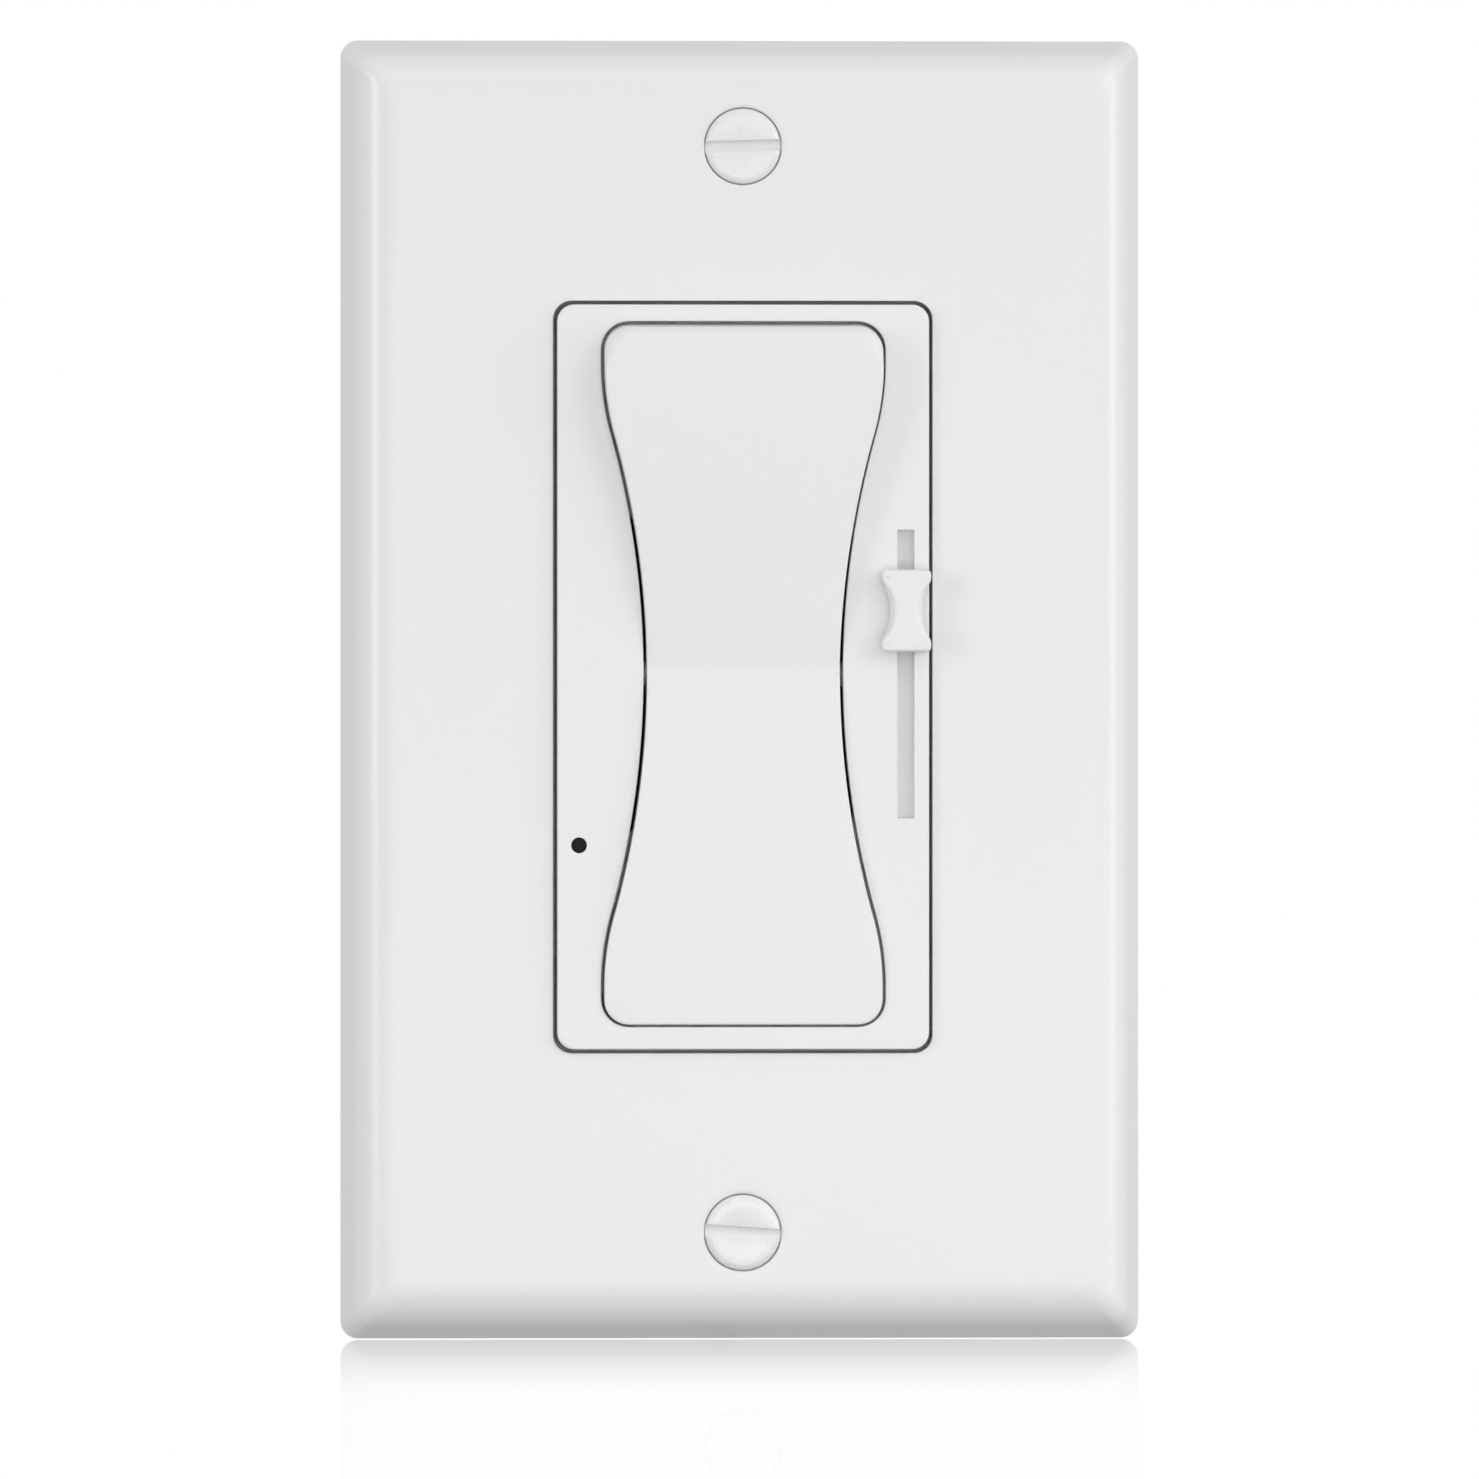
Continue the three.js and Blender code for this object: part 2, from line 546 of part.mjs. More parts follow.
function potLever() {
  const carriage = box([-2.6, 2.6], [7.6, 9.4], [-3, 3]);
  return join(box([-0.4, 0.4], [-1, 8], [-1.9, 1.9]), carriage);
}

function potCase() {
  const { front, back, half, length, metal } = POT;
  const shell = box([-half, half], [front, back], [-length, length]);
  const inside = box([metal - half, half - metal], [front + metal, back - metal], [metal - length, length - metal]);
  const slotHalf = SLIDER.travel / 2 + 2.3;
  return cut(shell, inside, box([-0.8, 0.8], [front - 1, front + 1], [-slotHalf, slotHalf]));
}

add(sliding, 'dimmer_knob', dimmerKnob(), WHITE_PLASTIC);
add(sliding, 'slide_shutter', slideShutter(), WHITE_PLASTIC);
add(sliding, 'pot_lever', potLever(), ZINC_STEEL);
add(controls, 'pot_case', potCase().translate(SLIDER.x, 0, 0), ZINC_STEEL);

// ---------------------------------------------------------------- switch contacts

const tilting = new THREE.Group();
tilting.position.y = CONTACT.pivot;
tilting.rotation.x = -CONTACT.tilt * RADIANS;
controls.add(tilting);

function contactTip(y0, y1, end) {
  return rodY(CONTACT.tip, [y0, y1], 0, end * CONTACT.reach, 16);
}

function fixedContact(end) {
  const leaf = box([-2.5, 2.5], [12.15, 12.8], onSide(end, 8, 13.6));
  return join(leaf, box([-0.6, 0.6], [12.7, BOARD.front - GAP], onSide(end, 12.2, 13.2)));
}

// The ridge that the see-saw contact rocks on, with its foot and its tail to the board.
function commonContact() {
  const ridge = new THREE.Shape([[CONTACT.pivot + 0.02, 0], [10.05, -0.45], [10.05, 0.45]].map(
    ([y, z]) => new THREE.Vector2(y, z),
  ));
  const foot = box([-2.4, 2.4], [10, 10.65], [-2.6, 2.6]);
  const tail = box([-0.6, 0.6], [10.5, BOARD.front - GAP], [-0.5, 0.5]);
  return join(sideSlab(ridge, [-2.2, 2.2]), foot, tail);
}

function switchBase() {
  const block = box([-5.4, 5.4], [10.7, BOARD.front - GAP], [-15, 15]);
  const pockets = [1, -1].map((end) => box([-3, 3], [10, 12.9], onSide(end, 6.6, 16)));
  const tails = [0, 1, -1].map((end) => {
    const z = end * 12.7;
    return box([-0.8, 0.8], [9, 15], [z - 0.7, z + 0.7]);
  });
  return cut(block, ...pockets, ...tails);
}

add(tilting, 'contact_rocker', box([-2.5, 2.5], [-0.8, -0.1], [-12, 12]), BRASS);
for (const [name, end] of [['upper', 1], ['lower', -1]]) {
  add(tilting, `moving_tip_${name}`, contactTip(-GAP, 0.85, end), SILVER);
  add(controls, `fixed_tip_${name}`, contactTip(CONTACT.fixedFront, 12.1, end), SILVER);
  add(controls, `${name}_contact`, fixedContact(end), BRASS);
}
add(controls, 'common_contact', commonContact(), BRASS);
add(controls, 'switch_base', switchBase(), BASE_PLASTIC);

// ---------------------------------------------------------------- rear housing

const CORNERS = [
  { name: 'upper_right', side: 1, end: 1 },
  { name: 'upper_left', side: -1, end: 1 },
  { name: 'lower_right', side: 1, end: -1 },
  { name: 'lower_left', side: -1, end: -1 },
];

function rearHousing() {
  const { width, height, depth, wall, back, corner } = HOUSING;
  const outer = slab(roundedRectangle(width, height, corner), [0.1, depth], 3);
  const inner = roundedRectangle(width - 2 * wall, height - 2 * wall, 0.8);
  const posts = [];
  const bores = [];
  for (const { side, end } of CORNERS) {
    const [x, z] = [side * POST.x, end * POST.z];
    posts.push(rodY(POST.radius, [0.1, depth - 1], x, z));
    posts.push(rodY(POST.foot, [BOARD.back + 0.1, depth - 1], x, z));
    bores.push(rodY(POST.screw + 0.2, [-1, depth + 1], x, z));
    bores.push(rodY(POST.head + 0.2, [depth - 2, depth + 1], x, z));
  }
  const shell = cut(outer, slab(inner, [-1, depth - back], 2));
  return cut(join(shell, ...posts, ...TERMINALS.map(terminalBox)), ...bores, ...TERMINALS.map(terminalPocket));
}

// The walls round a recess for a wire terminal, and the recess with its screw hole and wire holes.
function terminalBox({ side, z }) {
  const { y, pocket, half, depthHalf } = TERMINAL;
  const around = 1.3;
  const spanY = [y - depthHalf - around, HOUSING.depth - 1];
  return box(onSide(side, pocket - around, 21), spanY, [z - half - around, z + half + around]);
}

function terminalPocket({ side, z }) {
  const { y, pocket, half, depthHalf, screw } = TERMINAL;
  const recess = box(onSide(side, pocket, 23), [y - depthHalf, y + depthHalf], [z - half, z + half]);
  const screwHole = rodX(screw + 0.2, onSide(side, pocket - 3, pocket + 1), y, z, 20);
  const tailSlot = box(onSide(side, pocket + 0.1, pocket + 1.5), [BOARD.back, y], [z - 1.7, z + 1.7]);
  const wireHoles = [1, -1].map((end) => {
    return rodY(1.2, [y, HOUSING.depth + 1], side * 18.15, z + end * 3.1, 12);
  });
  return join(recess, screwHole, tailSlot, ...wireHoles);
}

add(device, 'rear_housing', rearHousing(), HOUSING_PLASTIC);
for (const { name, side, end } of CORNERS) {
  const { screw, head, x, z } = POST;
  const long = machineScrew({
    shank: screw, head, headFront: -HOUSING.depth + 0.15, seat: 2 - HOUSING.depth - GAP, tip: 1.3, slot: 0.8,
  });
  add(device, `housing_screw_${name}`, long.rotate([0, 0, 180]).translate(side * x, 0, end * z), ZINC_STEEL);
}

// ---------------------------------------------------------------- wire terminals

for (const { name, side, z } of TERMINALS) {
  const { y, pocket, screw, head } = TERMINAL;
  const plateHole = rodX(screw + 0.15, onSide(side, pocket - 2, pocket + 4), y, z, 20);
  const bar = join(
    box(onSide(side, pocket + 0.2, pocket + 1.4), [y - 4.2, y + 4.2], [z - 4.4, z + 4.4]),
    box(onSide(side, pocket + 0.2, pocket + 1.4), [BOARD.back + 0.1, y], [z - 1.5, z + 1.5]),
  );
  const clamp = box(onSide(side, pocket + 1.7, pocket + 2.7), [y - 4.2, y + 4.2], [z - 4.4, z + 4.4]);
  const upright = machineScrew({ shank: screw, head, headFront: 0, seat: 2, tip: 8.9 });
  const placed = upright.rotate([0, 0, side * 90]).translate(side * (pocket + 4.75), y, z);
  add(device, `terminal_bar_${name}`, cut(bar, plateHole), BRASS);
  add(device, `terminal_clamp_${name}`, cut(clamp, plateHole), ZINC_STEEL);
  add(device, `terminal_screw_${name}`, placed, BRASS);
}

// ---------------------------------------------------------------- circuit board and its components

function circuitBoard() {
  const { front, back, width, height } = BOARD;
  const board = box([-width / 2, width / 2], [front, back], [-height / 2, height / 2]);
  const notches = CORNERS.map(({ side, end }) => box(onSide(side, 14.2, 25), [0, 20], onSide(end, 23.8, 40)));
  return cut(board, ...notches);
}

function triac() {
  const { x, width, bodyLow, bodyHigh, tabHigh, screwZ, leadPitch } = TRIAC;
  const spanX = [x - width / 2, x + width / 2];
  const tab = cut(box(spanX, [0.42, 1.7], [bodyLow + 0.2, tabHigh]), rodY(1.6, [0, 3], x, screwZ, 16));
  const pad = box([spanX[0] - 0.2, spanX[1] + 0.2], [0.06, 0.36], [bodyLow, tabHigh + 0.1]);
  const padHole = rodY(1.6, [-1, 3], x, screwZ, 16);
  const screw = machineScrew({ shank: 1.4, head: 2.4, headFront: -3.6, seat: -1.75, tip: 1.3, slot: 0.8 });
  add(device, 'triac_body', box(spanX, [1.75, 4.8], [bodyLow, bodyHigh]), BLACK_EPOXY);
  add(device, 'triac_tab', tab, ALUMINIUM);
  add(device, 'triac_pad', cut(pad, padHole), CERAMIC);
  add(device, 'triac_screw', screw.rotate([0, 0, 180]).translate(x, 0, screwZ), ZINC_STEEL);
  for (const lead of [1, 2, 3]) {
    const centre = x + (lead - 2) * leadPitch;
    const spanLead = [centre - 0.4, centre + 0.4];
    const out = box(spanLead, [3, 3.6], [bodyLow - 1.4, bodyLow - GAP]);
    const down = box(spanLead, [3, BOARD.front - 0.1], [bodyLow - 1.4, bodyLow - 0.8]);
    add(device, `triac_lead_${lead}`, join(out, down), ZINC_STEEL);
  }
}

// A ring core, and round it the winding as one open sleeve.
function choke() {
  const { x, z, front, back, outer, inner, wire } = CHOKE;
  const ring = (wide, hole, span) => cut(rodY(wide, span, 0, 0, 28), rodY(hole, [0, 40], 0, 0, 20));
  const sleeve = ring(outer, inner, [front, back]);
  const inside = ring(outer - wire + 0.15, inner + wire - 0.15, [front + wire - 0.15, back - wire + 0.15]);
  const core = ring(outer - wire, inner + wire, [front + wire, back - wire]);
  const mouth = box([-2.6, 2.6], [0, 40], [-20, 0]);
  add(device, 'choke_core', core.translate(x, 0, z), FERRITE);
  add(device, 'choke_winding', cut(sleeve, inside, mouth).translate(x, 0, z), COPPER);
}

function smallComponents() {
  const { front, back } = BOARD;
  const can = turned(
    [[0, back + 0.3], [3.7, back + 0.3], [4, back + 0.6], [4, 26], [3.6, 26.4], [0, 26.4]], 24,
  );
  const led = turned(
    [[0, 9.4], [0.8, 9.6], [1.35, 10.2], [1.5, 10.9], [1.5, 13], [1.9, 13], [1.9, front - GAP], [0, front - GAP]], 16,
  );
  add(device, 'circuit_board', circuitBoard(), BOARD_LAMINATE);
  add(device, 'film_capacitor', box([0.5, 8.5], [back + 0.3, 27], [4, 20]), YELLOW_CASE);
  add(device, 'filter_capacitor', can.translate(-6, 0, 8), SLEEVE);
  add(device, 'fuse_resistor', rodZ(1.7, [15, 25], -6.5, back + 2.1, 16), CERAMIC);
  add(device, 'controller_chip', box([-18, -12], [front - 1.7, front - 0.1], [-6, -1]), BLACK_EPOXY);
  add(device, 'indicator_led', led.translate(INDICATOR.x, 0, INDICATOR.z), LED_RESIN);
}

triac();
choke();
smallComponents();

export default dimmer;
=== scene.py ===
"""A slide dimmer in its wall plate, seen almost straight on in a white studio.

The CAD bodies come from the frame. What shows from outside is built again here with its real roundings,
threads and slots, and rides on the same bodies. Shapes are written in millimetres; meshes are in metres.
"""

import json
import math

import bmesh
import bpy
from mathutils import Matrix, Vector


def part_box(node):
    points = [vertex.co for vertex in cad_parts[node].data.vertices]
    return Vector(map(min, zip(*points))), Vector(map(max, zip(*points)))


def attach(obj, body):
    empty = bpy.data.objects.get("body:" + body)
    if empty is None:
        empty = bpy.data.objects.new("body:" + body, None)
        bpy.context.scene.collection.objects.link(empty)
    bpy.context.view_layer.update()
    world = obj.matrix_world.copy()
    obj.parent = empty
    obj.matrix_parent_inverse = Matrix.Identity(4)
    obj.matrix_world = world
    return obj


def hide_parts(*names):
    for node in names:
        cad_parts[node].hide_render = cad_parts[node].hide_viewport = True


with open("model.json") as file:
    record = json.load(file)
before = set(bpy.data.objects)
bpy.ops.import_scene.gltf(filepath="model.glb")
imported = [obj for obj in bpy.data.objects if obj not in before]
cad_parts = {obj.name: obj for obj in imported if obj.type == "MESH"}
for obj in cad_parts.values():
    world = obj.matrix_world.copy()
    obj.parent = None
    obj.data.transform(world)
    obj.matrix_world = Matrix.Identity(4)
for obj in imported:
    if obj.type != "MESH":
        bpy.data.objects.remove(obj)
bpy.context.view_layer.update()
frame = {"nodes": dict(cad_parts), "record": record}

MM = 0.001
FULL_TURN = 2 * math.pi

# Driving dimensions in millimetres, the same as the CAD part's.
PLATE_DEPTH = 5.9
PLATE_CORNER = 1.6
PLATE_SIDE_ANGLE = math.radians(70)
PLATE_EDGE_RADIUS = 4
PLATE_WALL = 1.8
PLATE_SCREW_SPREAD = 48.4
BOX_SCREW_SPREAD = 41.65
INSERT_RISE = 1.1
CONTROL_RISE = 0.25
CONTROL_Z = INSERT_RISE + CONTROL_RISE
BEZEL_WIDTH, BEZEL_HEIGHT, BEZEL_CORNER = 33.49, 66.68, 1.5
BEZEL_FRONT, BEZEL_FACE_BACK, BEZEL_BACK = -6.6, -4.9, -1.55
HOURGLASS = {"waist": 8.75, "half": 12.55, "height": 31.28, "shoulder": 27.7, "side": 23.2, "corner": 2.35}
PADDLE_PIVOT = -3.6
PADDLE_TILT = math.radians(2)
PADDLE_FRONT, PADDLE_CROWN, PADDLE_BACK = 3.3, 0.4, -0.5
PADDLE_SKIN, PADDLE_SKIRT = 1.8, 1.4
PIVOT_PIN_RADIUS, PIVOT_PIN_REACH = 1.1, 11.1
SLIDER_X = 14.5
SLOT_WIDTH, SLOT_HALF = 1.5, 12.85
KNOB_RISE = 5.65
KNOB_Z = CONTROL_Z + KNOB_RISE
KNOB = {"waist": 1.48, "half": 2.25, "height": 3.7, "shoulder": 3.0, "side": 1.2, "corner": 0.45}
INDICATOR, INDICATOR_RADIUS = (-14.65, INSERT_RISE - 15), 0.7
STRAP_THICKNESS = 1.5
HOUSING_WIDTH, HOUSING_HEIGHT, HOUSING_BACK = 43, 62, 30
HOUSING_WALL, HOUSING_FLOOR = 1.6, 1.8
POST_X, POST_Z = 17.1, 26.7
TERMINAL_Y = 22.1
TERMINALS = {"line": (1, 10.5), "load": (1, -10.5), "traveller": (-1, 10.5)}
EARTH_Y, EARTH_Z = 4.2, INSERT_RISE - 34.9

# Only here, or a little apart from the CAD part to suit the photo.
RUNNING_GAP, EDGE_GAP = 0.15, 0.17
PADDLE_DIP, PADDLE_DIP_REACH, PADDLE_STEP = 0.45, 13, 1.1
CREASE_WIDTH, CREASE_DROP = 0.9, 0.35
RIM_SMALL, RIM_BROAD, RIM_START, RIM_BLEND = 0.15, 1.4, 26.5, 4
KNOB_FOOT, KNOB_FRONT, KNOB_DRAFT, KNOB_PINCH = -6.95, -8.2, 0.12, 0.34
SHUTTER_FRONT = -5.5
DISH_RADIUS, SCREW_HOLE_RADIUS, SCREW_WELL_RADIUS = 3.46, 1.9, 3.2
HOOK_X, HOOK_RISE = 9, 32.35
TERMINAL_HEAD_X, EARTH_HEAD_X = 21.35, -18.85
SHARP_EDGE = 38  # degrees between faces


# ---------------------------------------------------------------- materials


def node(tree, kind, **values):
    """A shader node with its properties and input values set."""
    made = tree.nodes.new(kind)
    for key, value in values.items():
        if key in made.inputs:
            made.inputs[key].default_value = value
        else:
            setattr(made, key, value)
    return made


def noise(tree, coordinates, size, detail=3.0, stretch=(1, 1, 1)):
    """Noise whose features are about size millimetres across, drawn out by stretch along each axis."""
    scale = [1 / (size * MM * s) for s in stretch]
    mapping = node(tree, "ShaderNodeMapping", Scale=scale)
    made = node(tree, "ShaderNodeTexNoise", Scale=1.0, Detail=detail, Roughness=0.55)
    tree.links.new(coordinates, mapping.inputs["Vector"])
    tree.links.new(mapping.outputs["Vector"], made.inputs["Vector"])
    return made.outputs["Fac"]


def surface(
    name, colour, roughness, metallic=0.0, tint=0.02, patch=6.0, spread=0.05,
    grain=0.25, relief=0.004, stretch=(1, 1, 1), coat=0.0, shine=0.5,
):
    """A material with drifting colour and roughness, and a fine relief on the surface, from noise.

    patch and grain are the sizes in millimetres of the drift and of the relief, relief is its height.
    tint and spread are how far the colour and the roughness drift, coat and shine how strongly it mirrors.
    """
    made = bpy.data.materials.new(name)
    made.use_nodes = True
    tree = made.node_tree
    shader = tree.nodes["Principled BSDF"]
    shader.inputs["Metallic"].default_value = metallic
    shader.inputs["Specular IOR Level"].default_value = shine
    shader.inputs["Coat Weight"].default_value = coat
    shader.inputs["Coat Roughness"].default_value = 0.08
    where = node(tree, "ShaderNodeTexCoord").outputs["Object"]

    ramp = node(tree, "ShaderNodeValToRGB")
    for stop, shade in zip(ramp.color_ramp.elements, (1 - tint, 1 + tint)):
        stop.color = [min(1.0, channel * shade) for channel in colour] + [1]
    ramp.color_ramp.elements[0].position = 0.3
    ramp.color_ramp.elements[1].position = 0.7
    drift = noise(tree, where, patch, 4.0, stretch)
    tree.links.new(drift, ramp.inputs["Fac"])
    tree.links.new(ramp.outputs["Color"], shader.inputs["Base Color"])

    worn = node(tree, "ShaderNodeMapRange")
    worn.inputs["From Min"].default_value = 0.3
    worn.inputs["From Max"].default_value = 0.7
    worn.inputs["To Min"].default_value = max(0.05, roughness - spread)
    worn.inputs["To Max"].default_value = roughness + spread
    tree.links.new(noise(tree, where, patch * 0.6, 5.0, stretch), worn.inputs["Value"])
    tree.links.new(worn.outputs["Result"], shader.inputs["Roughness"])

    bump = node(tree, "ShaderNodeBump", Strength=1.0, Distance=relief * MM)
    tree.links.new(noise(tree, where, grain, 2.0, stretch), bump.inputs["Height"])
    tree.links.new(bump.outputs["Normal"], shader.inputs["Normal"])
    return made


def brushed(name, colour, roughness, along=(1, 1, 12), **changes):
    """A metal with fine lines drawn out along one axis."""
    settings = {"tint": 0.06, "patch": 1.2, "spread": 0.08, "grain": 0.12, "relief": 0.006, **changes}
    return surface(name, colour, roughness, metallic=1.0, stretch=along, **settings)


def all_materials():
    """One material for each of the record's slots."""
    return {
        "white_plastic": surface(
            "white_plastic", (0.80, 0.80, 0.797), 0.3, tint=0.0, patch=9, spread=0.01, relief=0.001,
        ),
        "white_paint": surface(
            "white_paint", (0.80, 0.80, 0.797), 0.3, tint=0.015, patch=1.5, relief=0.003, coat=0.3,
        ),
        "smoked_lens": surface(
            "smoked_lens", (0.008, 0.008, 0.008), 0.18, tint=0.2, patch=0.5, relief=0.0005, shine=0.1,
        ),
        "aluminium": brushed("aluminium", (0.72, 0.73, 0.74), 0.36),
        "zinc_steel": brushed("zinc_steel", (0.62, 0.63, 0.66), 0.3, along=(4, 1, 1)),
        "spring_steel": brushed("spring_steel", (0.45, 0.46, 0.48), 0.28),
        "brass": brushed("brass", (0.78, 0.56, 0.24), 0.3, along=(1, 6, 1)),
        "silver_contact": brushed("silver_contact", (0.86, 0.86, 0.84), 0.28),
        "copper": brushed("copper", (0.66, 0.27, 0.12), 0.26, along=(1, 1, 1), coat=0.6),
        "housing_plastic": surface(
            "housing_plastic", (0.026, 0.027, 0.03), 0.52, tint=0.18, patch=3, grain=0.3, relief=0.012,
        ),
        "base_plastic": surface(
            "base_plastic", (0.10, 0.032, 0.016), 0.5, tint=0.2, patch=0.8, relief=0.01,
        ),
        "fibre": surface(
            "fibre", (0.36, 0.20, 0.09), 0.8,
            tint=0.3, patch=0.5, grain=0.15, relief=0.03, stretch=(4, 1, 1),
        ),
        "board_laminate": surface(
            "board_laminate", (0.012, 0.10, 0.035), 0.35, tint=0.25, patch=0.5, coat=0.5,
        ),
        "black_epoxy": surface(
            "black_epoxy", (0.012, 0.012, 0.013), 0.55, tint=0.2, patch=0.6, relief=0.012,
        ),
        "ferrite": surface("ferrite", (0.03, 0.032, 0.035), 0.6, tint=0.3, patch=0.4, relief=0.02),
        "yellow_case": surface(
            "yellow_case", (0.70, 0.43, 0.03), 0.4, tint=0.05, patch=2, relief=0.004, coat=0.3,
        ),
        "sleeve": surface(
            "sleeve", (0.014, 0.03, 0.055), 0.38, tint=0.12, patch=2, relief=0.006, coat=0.2,
        ),
        "ceramic": surface("ceramic", (0.62, 0.56, 0.46), 0.7, tint=0.08, patch=0.5, relief=0.015),
        "green_paint": surface(
            "green_paint", (0.012, 0.20, 0.05), 0.28, metallic=0.7, tint=0.12, patch=1, coat=0.4,
        ),
        "led_resin": surface("led_resin", (0.78, 0.84, 0.78), 0.15, tint=0.03, patch=1, relief=0.001),
    }


looks = all_materials()


# ---------------------------------------------------------------- outlines in x and z


def arc(x, z, radius, start, end, steps):
    """Points on an arc, both ends included. Angles are in degrees."""
    angles = [math.radians(start + (end - start) * k / steps) for k in range(steps + 1)]
    return [(x + radius * math.cos(a), z + radius * math.sin(a)) for a in angles]


def distinct(points):
    """The closed outline without points that fall on the next one."""
    after = points[1:] + points[:1]
    return [p for p, q in zip(points, after) if math.dist(p, q) > 1e-5]


def rounded_rectangle(width, height, radius, x=0, z=0, steps=10):
    """An anticlockwise rectangle with round corners, starting at its lower right."""
    across, up = width / 2 - radius, height / 2 - radius
    return distinct(
        arc(x + across, z - up, radius, -90, 0, steps)
        + arc(x + across, z + up, radius, 0, 90, steps)
        + arc(x - across, z + up, radius, 90, 180, steps)
        + arc(x - across, z - up, radius, 180, 270, steps)
    )


def circle(radius, x=0, z=0, steps=40):
    """An anticlockwise circle."""
    return arc(x, z, radius, 0, 360, steps)[:-1]


def half_hourglass(shape, grow=0, fine=24):
    """The right side of an hourglass from its lower end to its upper end, swelled by grow."""
    width, top = shape["half"] + grow, shape["height"] + grow
    bulge, corner = shape["side"] + grow, shape["corner"] + grow
    waist, shoulder = shape["waist"] + grow, shape["shoulder"]
    inward = waist - (width - bulge)
    hollow = (inward**2 + shoulder**2 - bulge**2) / (2 * (bulge - inward))
    turn = math.degrees(math.atan2(shoulder, inward + hollow))
    return distinct(
        arc(width - corner, corner - top, corner, -90, 0, max(6, fine // 3))
        + arc(width - bulge, -shoulder, bulge, 0, turn, fine)
        + arc(waist + hollow, 0, hollow, 180 + turn, 180 - turn, 3 * fine)
        + arc(width - bulge, shoulder, bulge, -turn, 0, fine)
        + arc(width - corner, top - corner, corner, 0, 90, max(6, fine // 3))
        + [(0, top + 1)]
    )[:-1]


def hourglass(shape, grow=0, x=0, z=0, fine=24):
    """The whole outline, anticlockwise."""
    right = half_hourglass(shape, grow, fine)
    left = [(-u, v) for u, v in reversed(right)]
    return [(x + u, z + v) for u, v in right + left]


def ease(share):
    """A smooth step from 0 to 1."""
    return share * share * (3 - 2 * share)


def rounded(corners, finest=0.3):
    """The profile through corners [(grow, y, radius), ...], each inner corner rounded to its radius."""
    path = [corners[0][:2]]
    for before, corner, after in zip(corners, corners[1:], corners[2:]):
        here = Vector(corner[:2])
        if corner[2] == 0:
            path.append(tuple(here))
            continue
        back = (Vector(before[:2]) - here).normalized()
        onward = (Vector(after[:2]) - here).normalized()
        half = back.angle(onward) / 2
        centre = here + (back + onward).normalized() * corner[2] / math.sin(half)
        start = here + back * corner[2] / math.tan(half) - centre
        end = here + onward * corner[2] / math.tan(half) - centre
        first = math.atan2(start.y, start.x)
        turn = (math.atan2(end.y, end.x) - first + math.pi) % FULL_TURN - math.pi
        steps = min(16, max(3, math.ceil(abs(turn) * corner[2] / finest)))
        for k in range(steps + 1):
            angle = first + turn * k / steps
            path.append((centre.x + corner[2] * math.cos(angle), centre.y + corner[2] * math.sin(angle)))
    return path + [corners[-1][:2]]


# ---------------------------------------------------------------- meshes


class Skin:
    """A mesh under construction, in millimetres, made of closed rows of vertices."""

    def __init__(self):
        self.mesh = bmesh.new()

    def row(self, points):
        """One vertex for each point."""
        return [self.mesh.verts.new(p) for p in points]

    def strip(self, first, second):
        """Quads between two closed rows of equal length."""
        for k in range(len(first)):
            after = (k + 1) % len(first)
            self.mesh.faces.new((first[k], first[after], second[after], second[k]))

    def stack(self, rows):
        """Strips between each row and the next."""
        for first, second in zip(rows, rows[1:]):
            self.strip(first, second)

    def sweep(self, outline, profile):
        """Rows along outline(grow) at each (grow, y) of the profile. Returns the first and last row."""
        rows = [self.row([(x, y, z) for x, z in outline(grow)]) for grow, y in profile]
        self.stack(rows)
        return rows[0], rows[-1]

    def fill(self, *rows):
        """A flat face inside the first row, with the other rows as holes in it."""
        edges = []
        for row in rows:
            for k, vertex in enumerate(row):
                pair = (vertex, row[(k + 1) % len(row)])
                edges.append(self.mesh.edges.get(pair) or self.mesh.edges.new(pair))
        bmesh.ops.triangle_fill(self.mesh, use_beauty=True, edges=edges)

    def cap(self, rows):
        """Flat faces in the first and the last row."""
        self.fill(rows[0])
        self.fill(rows[-1])

    def block(self, x, y, z):
        """A box between the pairs x, y and z."""
        made = bmesh.ops.create_cube(self.mesh, size=1)["verts"]
        size = [span[1] - span[0] for span in (x, y, z)]
        middle = [(span[1] + span[0]) / 2 for span in (x, y, z)]
        bmesh.ops.scale(self.mesh, vec=size, verts=made)
        bmesh.ops.translate(self.mesh, vec=middle, verts=made)

    def turned(self, profile, sides):
        """A solid turned about the Y axis from a profile [(radius, y), ...] between two ends."""
        self.cap(self.sweep(lambda radius: circle(radius, steps=sides), profile))

    def as_object(self, name):
        """The finished mesh as an object in metres."""
        bmesh.ops.recalc_face_normals(self.mesh, faces=self.mesh.faces)
        bmesh.ops.scale(self.mesh, vec=(MM, MM, MM), verts=self.mesh.verts)
        data = bpy.data.meshes.new(name)
        self.mesh.to_mesh(data)
        self.mesh.free()
        made = bpy.data.objects.new(name, data)
        bpy.context.scene.collection.objects.link(made)
        return made


def slab(outline, y, name="tool"):
    """A solid of one outline carried between the pair y."""
    skin = Skin()
    skin.cap(skin.sweep(lambda grow: outline, [(0, y[0]), (0, y[1])]))
    return skin.as_object(name)


def rod(radius, y, x=0, z=0):
    """A round solid along Y."""
    return slab(circle(radius, x, z, 32), y)


def cross_rod(radius, x, y, z):
    """A round solid along X, through y and z."""
    made = rod(radius, x)
    made.data.transform(at(0, y, z, -90))
    return made


def box(x, y, z):
    """A plain block between the pairs x, y and z."""
    skin = Skin()
    skin.block(x, y, z)
    return skin.as_object("tool")


def combine(base, tools, operation):
    """Joins the tools to base, or cuts them from it, and removes them."""
    for tool in tools:
        step = base.modifiers.new("combine", "BOOLEAN")
        step.operation = operation
        step.solver = "EXACT"
        step.object = tool
    settle(base)
    for tool in tools:
        bpy.data.objects.remove(tool)
    return base


